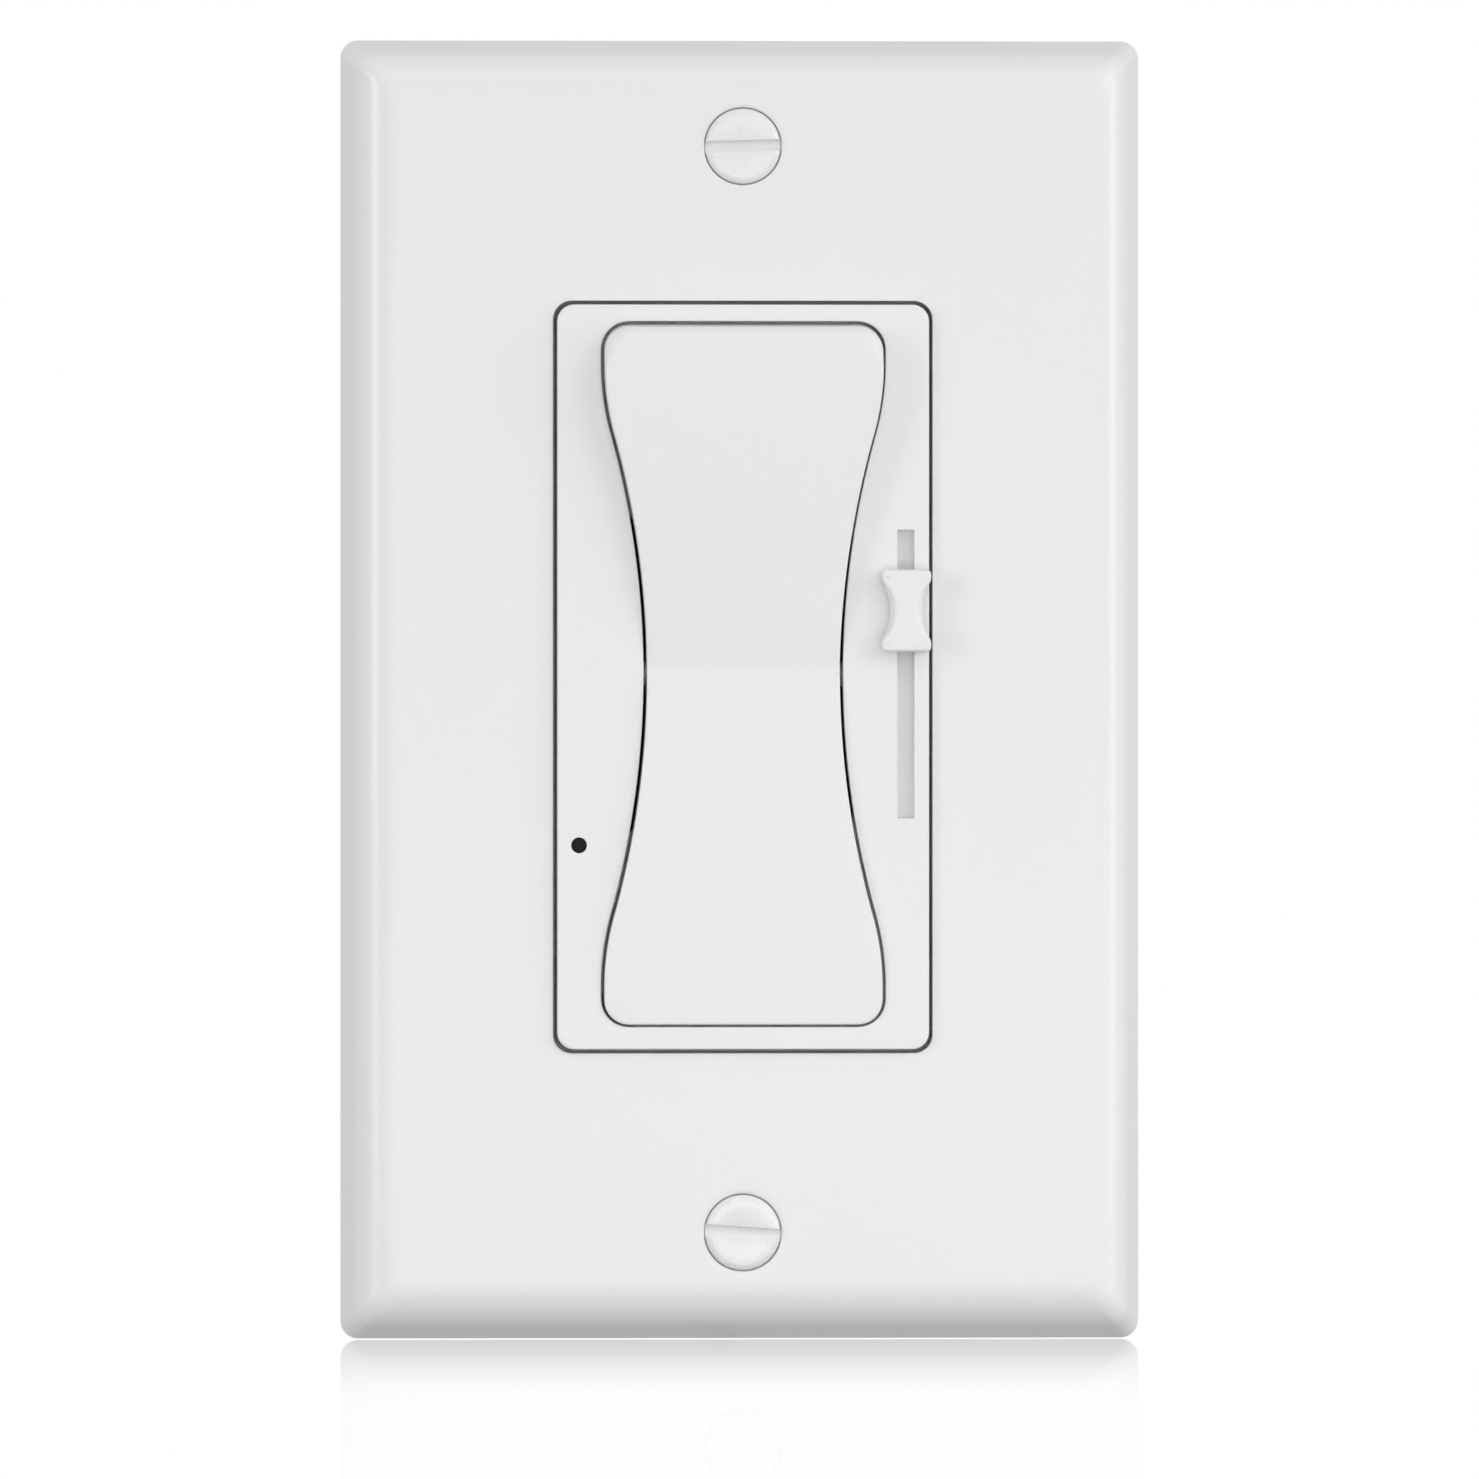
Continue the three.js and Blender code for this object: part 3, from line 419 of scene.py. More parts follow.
def settle(piece):
    """Writes the piece's modifiers into its mesh."""
    graph = bpy.context.evaluated_depsgraph_get()
    data = bpy.data.meshes.new_from_object(piece.evaluated_get(graph))
    piece.modifiers.clear()
    piece.data = data


def smooth(piece, sharp=SHARP_EDGE):
    """Smooth shading, with normals that follow the larger faces and edges kept where they are sharp."""
    piece.data.polygons.foreach_set("use_smooth", [True] * len(piece.data.polygons))
    piece.data.set_sharp_from_angle(angle=math.radians(sharp))
    normals = piece.modifiers.new("normals", "WEIGHTED_NORMAL")
    normals.keep_sharp = True


def soften(piece, width):
    """Rounds the piece's edges by a bevel."""
    bevel = piece.modifiers.new("edges", "BEVEL")
    bevel.width = width * MM
    bevel.segments = 2
    bevel.limit_method = "ANGLE"
    bevel.angle_limit = math.radians(SHARP_EDGE)
    bevel.use_clamp_overlap = True
    smooth(piece)


def dress(piece, slot, body, *stands_for):
    """Gives a piece its material and its body, and hides the CAD nodes it stands for."""
    piece.data.materials.clear()
    piece.data.materials.append(looks[slot])
    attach(piece, body)
    if stands_for:
        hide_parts(*stands_for)
    return piece


def at(x, y, z, turn=0.0):
    """Placing in millimetres after a turn in degrees about Z."""
    return Matrix.Translation((x * MM, y * MM, z * MM)) @ Matrix.Rotation(math.radians(turn), 4, "Z")


def both(near, far, side):
    """The range near to far on the side 1 or -1."""
    return tuple(sorted((side * near, side * far)))


# ---------------------------------------------------------------- wall plate


def wall_plate():
    """A hollow plate: its edge, opening and screw holes are swept, and the flat faces join them."""
    low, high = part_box("wall_plate")
    width, height = (high.x - low.x) / MM, (high.z - low.z) / MM
    steep = math.tan(PLATE_SIDE_ANGLE)
    wall_in = PLATE_WALL / math.sin(PLATE_SIDE_ANGLE)
    inner_y = PLATE_WALL - PLATE_DEPTH

    def edge(grow):
        return rounded_rectangle(width + 2 * grow, height + 2 * grow, PLATE_CORNER + 0.16 * grow)

    def opening(grow):
        wide, tall = BEZEL_WIDTH + 2 * (EDGE_GAP + grow), BEZEL_HEIGHT + 2 * (EDGE_GAP + grow)
        return rounded_rectangle(wide, tall, BEZEL_CORNER + EDGE_GAP + grow, 0, INSERT_RISE)

    skin = Skin()
    front, inside = skin.sweep(edge, rounded([
        (-5.1, -PLATE_DEPTH, 0), (-PLATE_DEPTH / steep, -PLATE_DEPTH, PLATE_EDGE_RADIUS),
        (0, 0, 0.15), (-wall_in, 0, 0.15),
        (inner_y / steep - wall_in, inner_y, PLATE_EDGE_RADIUS - PLATE_WALL), (-5.2, inner_y, 0),
    ]))
    front_hole, inside_hole = skin.sweep(opening, rounded([
        (0.8, -PLATE_DEPTH, 0), (0, -PLATE_DEPTH, 0.1), (0, -2.2, 0.2), (1.17, -2.2, 0.2),
        (1.17, inner_y, 0.3), (2, inner_y, 0),
    ]))
    front_rows, inside_rows = [front, front_hole], [inside, inside_hole]
    for end in (1, -1):
        first, last = skin.sweep(lambda grow: circle(grow, 0, end * PLATE_SCREW_SPREAD, 48), rounded([
            (DISH_RADIUS + 0.64, -PLATE_DEPTH, 0), (DISH_RADIUS, -PLATE_DEPTH, 0.24),
            (DISH_RADIUS, 0.5 - PLATE_DEPTH, 0),
            (SCREW_HOLE_RADIUS, -3.5, 0.1), (SCREW_HOLE_RADIUS, -1.75, 0.15),
            (SCREW_WELL_RADIUS, -1.75, 0.2), (SCREW_WELL_RADIUS, inner_y, 0.3),
            (SCREW_WELL_RADIUS + 0.6, inner_y, 0),
        ]))
        front_rows.append(first)
        inside_rows.append(last)
    skin.fill(*front_rows)
    skin.fill(*inside_rows)
    piece = skin.as_object("wall_plate_shell")
    smooth(piece)
    dress(piece, "white_plastic", "device", "wall_plate")


# ---------------------------------------------------------------- bezel


def bezel():
    """The insert's face with its hourglass opening, slider slot and pinhole, and its side walls."""

    def edge(grow):
        return rounded_rectangle(
            BEZEL_WIDTH - 2 * EDGE_GAP + 2 * grow, BEZEL_HEIGHT - 2 * EDGE_GAP + 2 * grow,
            BEZEL_CORNER + 0.5 * grow, 0, INSERT_RISE,
        )

    def opening(grow):
        return hourglass(HOURGLASS, RUNNING_GAP + grow, 0, CONTROL_Z)

    def slot(grow):
        width, height = SLOT_WIDTH + 2 * grow, 2 * (SLOT_HALF + grow)
        return rounded_rectangle(width, height, 0.12 + grow, SLIDER_X, CONTROL_Z, steps=4)

    def pinhole(grow):
        return circle(INDICATOR_RADIUS + grow, *INDICATOR, steps=24)

    def through(rim, round_over):
        return rounded([
            (rim, BEZEL_FRONT, 0), (0, BEZEL_FRONT, round_over),
            (0, BEZEL_FACE_BACK, 0.08), (rim, BEZEL_FACE_BACK, 0),
        ], finest=0.1)

    skin = Skin()
    sides = [
        skin.sweep(edge, rounded([
            (-0.6, BEZEL_FRONT, 0), (0, BEZEL_FRONT, 0.14), (0, -1.95, 0), (0.8, -1.95, 0.1),
            (0.8, BEZEL_BACK, 0.1), (-0.95, BEZEL_BACK, 0.12),
            (-0.95, BEZEL_FACE_BACK, 0), (-1, BEZEL_FACE_BACK, 0),
        ], finest=0.1)),
        skin.sweep(opening, through(0.5, 0.09)),
        skin.sweep(slot, through(0.22, 0.08)),
        skin.sweep(pinhole, through(0.3, 0.08)),
    ]
    skin.fill(*[first for first, last in sides])
    skin.fill(*[last for first, last in sides])
    piece = skin.as_object("bezel_face")
    groove = box((12.85, 15.6), (SHUTTER_FRONT - 0.1, -4.5), (INSERT_RISE - 32.3, INSERT_RISE + 32.6))
    combine(piece, [groove], "DIFFERENCE")
    smooth(piece)
    dress(piece, "white_plastic", "device", "bezel")
    bezel_clips()


def pin_lug(side):
    """A lug with an open seat for one of the paddle's pins."""
    lug = box(both(9.15, 11.5, side), (-4.95, -1.9), (CONTROL_Z - 2.9, CONTROL_Z + 2.9))
    seat = cross_rod(PIVOT_PIN_RADIUS + 0.15, both(8, 12, side), PADDLE_PIVOT, CONTROL_Z)
    mouth = box(both(8, 12, side), (PADDLE_PIVOT, 0), (CONTROL_Z - 1, CONTROL_Z + 1))
    return combine(lug, [seat, mouth], "DIFFERENCE")


def hook(side, end):
    """A hook that snaps into the strap at one end."""
    tooth = [(0.85, 0.2), (1.35, 0.2), (1.35, 0.6), (0.85, 1.5), (0, 1.5), (0, -2.6), (0.85, -2.6)]
    outline = [(INSERT_RISE + end * (HOOK_RISE + out), y) for out, y in tooth]
    skin = Skin()
    sides = [skin.row([(side * HOOK_X + half, y, z) for z, y in outline]) for half in (-1.5, 1.5)]
    skin.stack(sides)
    skin.cap(sides)
    return skin.as_object("tool")


def bezel_clips():
    """Lugs for the paddle's pins, the slider's guide rail and the hooks that snap into the strap."""
    lugs = [pin_lug(side) for side in (1, -1)]
    rail = box((12.25, 12.7), (-4.95, -3.2), (INSERT_RISE - 17, INSERT_RISE + 17))
    hooks = [hook(side, end) for side in (1, -1) for end in (1, -1)]
    clips = combine(lugs[0], [lugs[1], rail, *hooks], "UNION")
    clips.name = "bezel_clips"
    soften(clips, 0.12)
    dress(clips, "white_plastic", "device")


# ---------------------------------------------------------------- paddle


def paddle_dip(z):
    """How far the face sinks towards the crease: slowly from above, and back up in a short step."""
    above = z - PADDLE_STEP / 2
    if above > 0:
        return PADDLE_DIP * max(0, 1 - above / PADDLE_DIP_REACH) ** 2
    share = max(0, 1 + above / PADDLE_STEP)
    return PADDLE_DIP * ease(share)


def paddle_front(z):
    """How far ahead of the pivot the paddle's face lies: two crowned halves that meet in a soft crease."""
    reach = HOURGLASS["height"] - RUNNING_GAP
    share = min(1, abs(z) / reach)
    crease = math.hypot(z, CREASE_WIDTH) - CREASE_DROP
    ahead = PADDLE_FRONT + crease * math.tan(PADDLE_TILT) + 4 * PADDLE_CROWN * share * (1 - share)
    return paddle_dip(z) - ahead


def paddle_edge(z):
    """The rounding of the paddle's rim: broad at the raised upper end, small along the sides and below."""
    share = max(0, min(1, (z - RIM_START) / RIM_BLEND))
    return RIM_SMALL + (RIM_BROAD - RIM_SMALL) * ease(share)


def paddle_height(y):
    """Half the paddle's length at a depth y: its ends are arcs about the pivot."""
    radius = math.hypot(HOURGLASS["height"] - RUNNING_GAP, PADDLE_FRONT - 0.3)
    return math.sqrt(radius**2 - y**2)


COLUMNS = 20


def paddle_outline(inset_of, height):
    """The paddle's outline, set in by inset_of(z), with COLUMNS steps along each end.

    It starts at the lower left corner, with the lower edge, and goes on anticlockwise.
    """
    shape = {**HOURGLASS, "height": height + RUNNING_GAP}
    right = half_hourglass(shape, -RUNNING_GAP, 30)
    moved = []
    for k, (x, z) in enumerate(right):
        before = right[k - 1] if k else (-x, z)
        after = right[k + 1] if k + 1 < len(right) else (-x, z)
        along = Vector((after[0] - before[0], after[1] - before[1])).normalized()
        inset = inset_of(z)
        moved.append((x - along.y * inset, z + along.x * inset))
    left = [(-x, z) for x, z in reversed(moved)]
    return between(left[-1], moved[0]) + moved + between(moved[-1], left[0]) + left


def between(start, end):
    """The inner points of a straight edge cut into COLUMNS steps."""
    steps = [k / COLUMNS for k in range(1, COLUMNS)]
    return [(start[0] + (end[0] - start[0]) * t, start[1] + (end[1] - start[1]) * t) for t in steps]


def close_grid(skin, row, depth):
    """Closes a paddle outline with rows of quads from its left side to its right, at depth(z)."""
    side = (len(row) - 2 * (COLUMNS - 1)) // 2
    edge = COLUMNS - 1
    low, right = row[:edge], row[edge:edge + side]
    high, left = row[edge + side:2 * edge + side], row[2 * edge + side:]
    left = left[::-1]
    lines = [[left[0], *low, right[0]]]
    for k in range(1, side - 1):
        (x, _, z) = right[k].co
        inner = [((2 * t / COLUMNS - 1) * x, z) for t in range(1, COLUMNS)]
        lines.append([left[k], *skin.row([(u, depth(v), v) for u, v in inner]), right[k]])
    lines.append([left[-1], *high[::-1], right[-1]])
    for below, above in zip(lines, lines[1:]):
        for k in range(COLUMNS):
            skin.mesh.faces.new((below[k], below[k + 1], above[k + 1], above[k]))


def paddle_shell():
    """The paddle's face, rim and skirt, hollow behind."""
    skin = Skin()
    tip = paddle_height(paddle_front(HOURGLASS["height"]) + 1)
    rows = []
    for step in range(8, -1, -1):
        lean = math.pi / 2 * step / 8
        points = paddle_outline(lambda z: paddle_edge(z) * (1 - math.cos(lean)), tip)
        drop = 1 - math.sin(lean)
        rows.append(skin.row([(x, paddle_front(z) + paddle_edge(z) * drop, z) for x, z in points]))
    close_grid(skin, rows[0], paddle_front)
    for share in (0.4, 0.8):
        points = paddle_outline(lambda z: 0, tip + (paddle_height(0) - tip) * share)
        edges = [paddle_front(z) + paddle_edge(z) for x, z in points]
        rows.append(skin.row([
            (x, start + (PADDLE_BACK - 0.15 - start) * share, z) for (x, z), start in zip(points, edges)
        ]))
    end = paddle_height(PADDLE_BACK)
    skirt = [(0, -1, 0), (0, PADDLE_BACK, 0.2), (PADDLE_SKIRT, PADDLE_BACK, 0.2), (PADDLE_SKIRT, -1.2, 0)]
    for inset, y in rounded(skirt):
        rows.append(skin.row([(x, y, z) for x, z in paddle_outline(lambda z: inset, end)]))
    ceiling = paddle_outline(lambda z: PADDLE_SKIRT, tip)
    rows.append(skin.row([(x, paddle_front(z) + PADDLE_SKIN, z) for x, z in ceiling]))
    skin.stack(rows)
    close_grid(skin, rows[-1], lambda z: paddle_front(z) + PADDLE_SKIN)
    return skin


def paddle_core():
    """The beam, the pivot pins, the ribs and the plunger's barrel inside the paddle."""
    beam = box((-8.6, 8.6), (-2.9, 1.2), (-2.2, 2.2))
    barrel = rod(3.3, (-2.8, 6.6))
    pins = cross_rod(PIVOT_PIN_RADIUS, (-PIVOT_PIN_REACH, PIVOT_PIN_REACH), 0, 0)
    pocket = rod(2.15, (-1.5, 8))
    core = combine(combine(beam, [barrel, pins], "UNION"), [pocket], "DIFFERENCE")
    core.name = "paddle_core"
    return core


def paddle():
    """The shell and the core, turned to the paddle's place at rest."""
    pivot = at(0, PADDLE_PIVOT, CONTROL_Z) @ Matrix.Rotation(PADDLE_TILT, 4, "X")
    shell = paddle_shell().as_object("paddle_shell")
    core = paddle_core()
    for piece in (shell, core):
        piece.data.transform(pivot)
    smooth(shell, 50)
    soften(core, 0.15)
    dress(shell, "white_plastic", "paddle", "paddle")
    dress(core, "white_plastic", "paddle")


# ---------------------------------------------------------------- dimmer knob


def dimmer_knob():
    """A waisted button, its sides leaning in most at the waist, with its stem."""
    edge = [
        (-0.35, KNOB_FOOT, 0), (0, KNOB_FOOT, 0.1),
        (-KNOB_DRAFT, KNOB_FRONT, 0.22), (-0.8, KNOB_FRONT - 0.02, 0),
    ]
    skin = Skin()
    rows = []
    for grow, y in rounded(edge, finest=0.04):
        lean = KNOB_PINCH * (y - KNOB_FOOT) / (KNOB_FRONT - KNOB_FOOT)
        shape = {**KNOB, "waist": KNOB["waist"] - lean, "corner": KNOB["corner"] - 0.5 * grow}
        rows.append(skin.row([(x, y, z) for x, z in hourglass(shape, grow, SLIDER_X, KNOB_Z, fine=12)]))
    skin.stack(rows)
    skin.cap(rows)
    button = skin.as_object("dimmer_button")
    stem = box((SLIDER_X - 0.55, SLIDER_X + 0.55), (KNOB_FOOT - 0.6, -3.2), (KNOB_Z - 3.15, KNOB_Z + 3.15))
    combine(button, [stem], "UNION")
    smooth(button, 50)
    dress(button, "white_plastic", "slider", "dimmer_knob")


def slide_shutter():
    """The strip that closes the slot under the bezel's face, and its block that holds stem and lever."""
    strip = box((12.98, 15.52), (SHUTTER_FRONT, -3.85), (KNOB_Z - 22.3, KNOB_Z + 22.3))
    block = box((13.25, 15.52), (-4, 2.8), (KNOB_Z - 4.4, KNOB_Z + 4.4))
    stem_socket = box((SLIDER_X - 0.7, SLIDER_X + 0.7), (-8, -2.6), (KNOB_Z - 3.3, KNOB_Z + 3.3))
    lever_socket = box((SLIDER_X - 0.6, SLIDER_X + 0.6), (-1.2, 4), (KNOB_Z - 2.2, KNOB_Z + 2.2))
    combine(combine(strip, [block], "UNION"), [stem_socket, lever_socket], "DIFFERENCE")
    strip.name = "slide_shutter_strip"
    soften(strip, 0.08)
    dress(strip, "white_plastic", "slider", "slide_shutter")


# ---------------------------------------------------------------- screws


SLOT_DEPTH = 0.85


def threaded(skin, radius, start, end, pitch, depth=0.28, sides=20):
    """A closed shank along Y with a helical thread, tapering in over the first and last turn."""
    steps = math.ceil((end - start) / pitch * 6)
    rows = []
    for step in range(steps + 1):
        y = start + (end - start) * step / steps
        fade = min(1, (y - start) / pitch, (end - y) / pitch)
        points = []
        for k in range(sides):
            turn = (y / pitch - k / sides) % 1
            groove = abs(2 * turn - 1)
            reach = radius - depth * (1 - fade + fade * groove)
            angle = FULL_TURN * k / sides
            points.append((reach * math.cos(angle), y, reach * math.sin(angle)))
        rows.append(skin.row(points))
    skin.stack(rows)
    skin.cap(rows)


def screw(name, slot, placing, head, shank, tip, thread_from, pitch, groove, tilt):
    """A slotted screw along +Y. head is its profile [(radius, y, rounding), ...] from the front back.

    groove is the width of the slot and tilt how far it is turned, in degrees.
    """
    skin = Skin()
    skin.turned(rounded(head + [(shank - 0.05, thread_from + 0.4, 0)], finest=0.08), sides=48)
    whole = skin.as_object(name)
    front = min(y for radius, y, rounding in head)
    wide = 2 * max(radius for radius, y, rounding in head)
    cutter = box((-wide, wide), (front - 1, front + SLOT_DEPTH), (-groove / 2, groove / 2))
    cutter.data.transform(Matrix.Rotation(-math.radians(tilt), 4, "Y"))
    combine(whole, [cutter], "DIFFERENCE")
    bevel = whole.modifiers.new("edges", "BEVEL")
    bevel.width, bevel.segments = 0.06 * MM, 2
    bevel.limit_method = "ANGLE"
    bevel.angle_limit = math.radians(40)
    settle(whole)
    body = Skin()
    threaded(body, shank, thread_from, tip, pitch)
    combine(whole, [body.as_object("tool")], "UNION")
    whole.data.transform(placing)
    smooth(whole, 42)
    dress(whole, slot, "device", name.replace("_finished", ""))


def pan_head(radius, front, seat):
    """A flat-bottomed head with a rounded top."""
    return [(0.01, front, 0), (radius, front, (seat - front) * 0.5), (radius, seat, 0.08)]


def screws():
    """Every screw that shows: in the plate, the strap, the housing, the terminals and the earth tab."""
    rim = 0.05 - PLATE_DEPTH
    oval = [
        (0.01, rim - 0.42, 0), (3.38, rim - 0.3, 0.62), (3.38, rim + 0.45, 0.05), (1.6, -3.65, 0),
    ]
    for name, end, tilt in (("top", 1, 1.65), ("bottom", -1, -4.1)):
        screw(
            f"plate_screw_{name}_finished", "white_paint", at(0, 0, end * PLATE_SCREW_SPREAD), oval,
            shank=1.68, tip=7.5, thread_from=-3.3, pitch=0.79, groove=1.05, tilt=tilt,
        )
        head = pan_head(3.3, -3.4, -1.56) + [(1.6, -1.56, 0)]
        screw(
            f"box_screw_{name}_finished", "zinc_steel", at(0, 0, end * BOX_SCREW_SPREAD), head,
            shank=1.68, tip=24, thread_from=-1.3, pitch=0.79, groove=1.0, tilt=90,
        )
    for upper, end in (("upper", 1), ("lower", -1)):
        for right, side in (("right", 1), ("left", -1)):
            head = pan_head(2.5, -29.85, -28.06) + [(1.3, -28.06, 0)]
            screw(
                f"housing_screw_{upper}_{right}_finished", "zinc_steel",
                at(side * POST_X, 0, INSERT_RISE + end * POST_Z, 180), head,
                shank=1.35, tip=1.3, thread_from=-8, pitch=0.7, groove=0.8, tilt=35 * side + 20 * end,
            )
    head = pan_head(3.5, 0, 2) + [(1.85, 2, 0)]
    for name, (side, z) in TERMINALS.items():
        screw(
            f"terminal_screw_{name}_finished", "brass",
            at(side * TERMINAL_HEAD_X, TERMINAL_Y, INSERT_RISE + z, side * 90), head,
            shank=1.9, tip=8.9, thread_from=2.3, pitch=0.8, groove=1.0, tilt=25 * side,
        )
    head = pan_head(3.3, 0, 2.3) + [(1.85, 2.3, 0)]
    screw(
        "ground_screw_finished", "green_paint", at(EARTH_HEAD_X, EARTH_Y, EARTH_Z, -90), head,
        shank=1.9, tip=9.6, thread_from=2.6, pitch=0.8, groove=1.0, tilt=15,
    )


# ---------------------------------------------------------------- strap and housing


def mounting_strap():
    """A stamped strap with its ears, slots and earth tab."""
    through = (-5, 5)
    span = (-STRAP_THICKNESS, 0)
    strap = slab(rounded_rectangle(44, 71, 2.5, 0, INSERT_RISE), span, "mounting_strap_stamped")
    combine(strap, [
        slab(rounded_rectangle(30, 105, 4), span),
        box((-16.5, -15), (-STRAP_THICKNESS, 2 * EARTH_Y), (EARTH_Z - 3.2, EARTH_Z + 3.2)),
    ], "UNION")
    cuts = [
        box((-10, 10), through, (CONTROL_Z - 14, CONTROL_Z + 14)),
        box((SLIDER_X - 1.8, SLIDER_X + 1.6), through, (CONTROL_Z - 14.5, CONTROL_Z + 14.5)),
        rod(1.7, through, *INDICATOR),
        rod(1.55, through, -9, INSERT_RISE + 26.4),
        cross_rod(2.1, (-18, -13), EARTH_Y, EARTH_Z),
    ]
    for end in (1, -1):
        cuts.append(rod(1.8, through, 0, end * PLATE_SCREW_SPREAD))
        cuts.append(slab(rounded_rectangle(8, 4.2, 2.09, 0, end * BOX_SCREW_SPREAD), through))
        for side in (1, -1):
            x, z = side * HOOK_X, INSERT_RISE + end * (HOOK_RISE + 0.2)
            cuts.append(rod(1.55, through, side * POST_X, INSERT_RISE + end * POST_Z))
            cuts.append(box((x - 1.8, x + 1.8), through, (z - 0.8, z + 0.8)))
    combine(strap, cuts, "DIFFERENCE")
    soften(strap, 0.18)
    dress(strap, "aluminium", "device", "mounting_strap")


def housing_posts():
    """The screw posts in the corners, and the bores through them."""
    posts, bores = [], []
    for side in (1, -1):
        for end in (1, -1):
            x, z = side * POST_X, INSERT_RISE + end * POST_Z
            posts.append(rod(2.6, (0.1, HOUSING_BACK - 1), x, z))
            posts.append(rod(3.6, (15.7, HOUSING_BACK - 1), x, z))
            bores.append(rod(1.55, (-1, HOUSING_BACK + 1), x, z))
            bores.append(rod(2.7, (HOUSING_BACK - 2, HOUSING_BACK + 1), x, z))
    return posts, bores


def housing_terminals():
    """The blocks round the terminals, and their recesses, screw holes, slots and wire holes."""
    blocks, bores = [], []
    for side, up in TERMINALS.values():
        y, z = TERMINAL_Y, INSERT_RISE + up
        blocks.append(box(both(15.3, 21, side), (y - 6, HOUSING_BACK - 1), (z - 6.2, z + 6.2)))
        bores.append(box(both(16.6, 23, side), (y - 4.7, y + 4.7), (z - 4.9, z + 4.9)))
        bores.append(cross_rod(2.1, both(13.6, 17.6, side), y, z))
        bores.append(box(both(16.7, 18.1, side), (15.6, y), (z - 1.7, z + 1.7)))
        for end in (1, -1):
            bores.append(rod(1.2, (y, HOUSING_BACK + 1), side * 18.15, z + end * 3.1))
    return blocks, bores


def rear_housing():
    """The moulded box behind the strap, with screw posts and recessed terminals."""

    def edge(grow):
        width, height = HOUSING_WIDTH + 2 * grow, HOUSING_HEIGHT + 2 * grow
        return rounded_rectangle(width, height, 2 + grow, 0, INSERT_RISE)

    skin = Skin()
    profile = [(-1, 0.1, 0), (0, 0.1, 0.3), (0, HOUSING_BACK, 0.8), (-1.5, HOUSING_BACK, 0)]
    skin.cap(skin.sweep(edge, rounded(profile, finest=0.15)))
    shell = skin.as_object("rear_housing_moulded")
    wide, tall = HOUSING_WIDTH - 2 * HOUSING_WALL, HOUSING_HEIGHT - 2 * HOUSING_WALL
    inner = rounded_rectangle(wide, tall, 0.8, 0, INSERT_RISE)
    combine(shell, [slab(inner, (-1, HOUSING_BACK - HOUSING_FLOOR))], "DIFFERENCE")
    posts, post_bores = housing_posts()
    blocks, terminal_bores = housing_terminals()
    combine(shell, posts + blocks, "UNION")
    combine(shell, post_bores + terminal_bores, "DIFFERENCE")
    soften(shell, 0.2)
    dress(shell, "housing_plastic", "device", "rear_housing")


# ---------------------------------------------------------------- choke winding


WIRE_RADIUS, WIRE_SIDES, WIRE_TURNS = 0.34, 8, 30
STEPS_PER_TURN = 16
WINDING_START, WINDING_SWEEP = -65, 310  # degrees round the ring


def winding_path(centre, middle, reach, half):
    """The wire's middle line: turns of a square with rounded corners, carried round the ring."""
    path = []
    steps = WIRE_TURNS * STEPS_PER_TURN
    for step in range(steps + 1):
        share = step / steps
        around = math.radians(WINDING_START + WINDING_SWEEP * share)
        roll = FULL_TURN * WIRE_TURNS * share
        square = 1 / max(abs(math.cos(roll)), abs(math.sin(roll))) ** 0.55
        radius = middle + reach * math.cos(roll) * square
        path.append(Vector((
            centre.x + radius * math.cos(around),
            centre.y + half * math.sin(roll) * square,
            centre.z + radius * math.sin(around),
        )))
    return path


def choke_winding():
    """Enamelled wire wound round the ring core in even turns, with a gap between its two ends."""
    low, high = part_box("choke_core")
    centre = (low + high) / 2 / MM
    outer, inner = (high.x - low.x) / 2 / MM, 5.0
    half = (high.y - low.y) / 2 / MM
    path = winding_path(centre, (outer + inner) / 2, (outer - inner) / 2 + 0.4, half + 0.4)
    skin = Skin()
    rows = []
    for k, point in enumerate(path):
        along = (path[min(k + 1, len(path) - 1)] - path[max(k - 1, 0)]).normalized()
        radial = Vector((point.x - centre.x, 0, point.z - centre.z)).normalized()
        across = along.cross(along.cross(radial).normalized()).normalized()
        other = along.cross(across)
        ring = circle(WIRE_RADIUS, steps=WIRE_SIDES)
        rows.append(skin.row([point + across * u + other * v for u, v in ring]))
    skin.stack(rows)
    skin.cap(rows)
    piece = skin.as_object("choke_winding_wire")
    smooth(piece, 60)
    dress(piece, "copper", "device", "choke_winding")


# ---------------------------------------------------------------- CAD nodes that stay


FINE_EDGES = {"plunger_spring": 0.01, "triac_pad": 0.03, "indicator_lens": 0.03}


def dress_cad_nodes():
    """Rounded edges and a material for the CAD nodes. Those that a piece stands for are hidden later."""
    for part in frame["record"]["subparts"]:
        piece = frame["nodes"][part["node"]]
        piece.data.materials.clear()
        piece.data.materials.append(looks[part["material_slot"]])
        soften(piece, FINE_EDGES.get(part["node"], 0.1))


# ---------------------------------------------------------------- studio


FLOOR_Z, FLOOR_REACH = -58.0, 3000
VIEW_SPAN = 132.13  # millimetres across the view at the wall plane
LENS, SENSOR = 600, 36
EYE_Z = -4.47
VIEW_TURN = math.radians(3)
WHITE = (1, 1, 1, 1)
SKY_LIGHT, FLOOR_LIGHT = 0.59, 0.46

# Each soft light: where it is, its width and height in metres, its watts, and the point it faces.
LIGHTS = {
    "key": ((0.64, -0.54, 0.34), 0.35, 0.35, 1.6, (0, 0, 0)),
    "top": ((0, -0.45, 0.55), 0.5, 0.15, 0.3, (0, 0, 0)),
    "left": ((-0.72, -0.45, 0.06), 0.2, 0.5, 2.05, (0, 0, 0)),
    "right": ((0.82, -0.26, 0), 0.2, 0.5, 1.5, (0, 0, 0)),
    "front": ((0.06, -1.2, 0.065), 0.7, 0.24, 0.85, (0, 0, 0)),
    "low": ((0.05, -0.16, -0.044), 0.6, 0.02, 0.095, (0, 0, -0.03)),
}


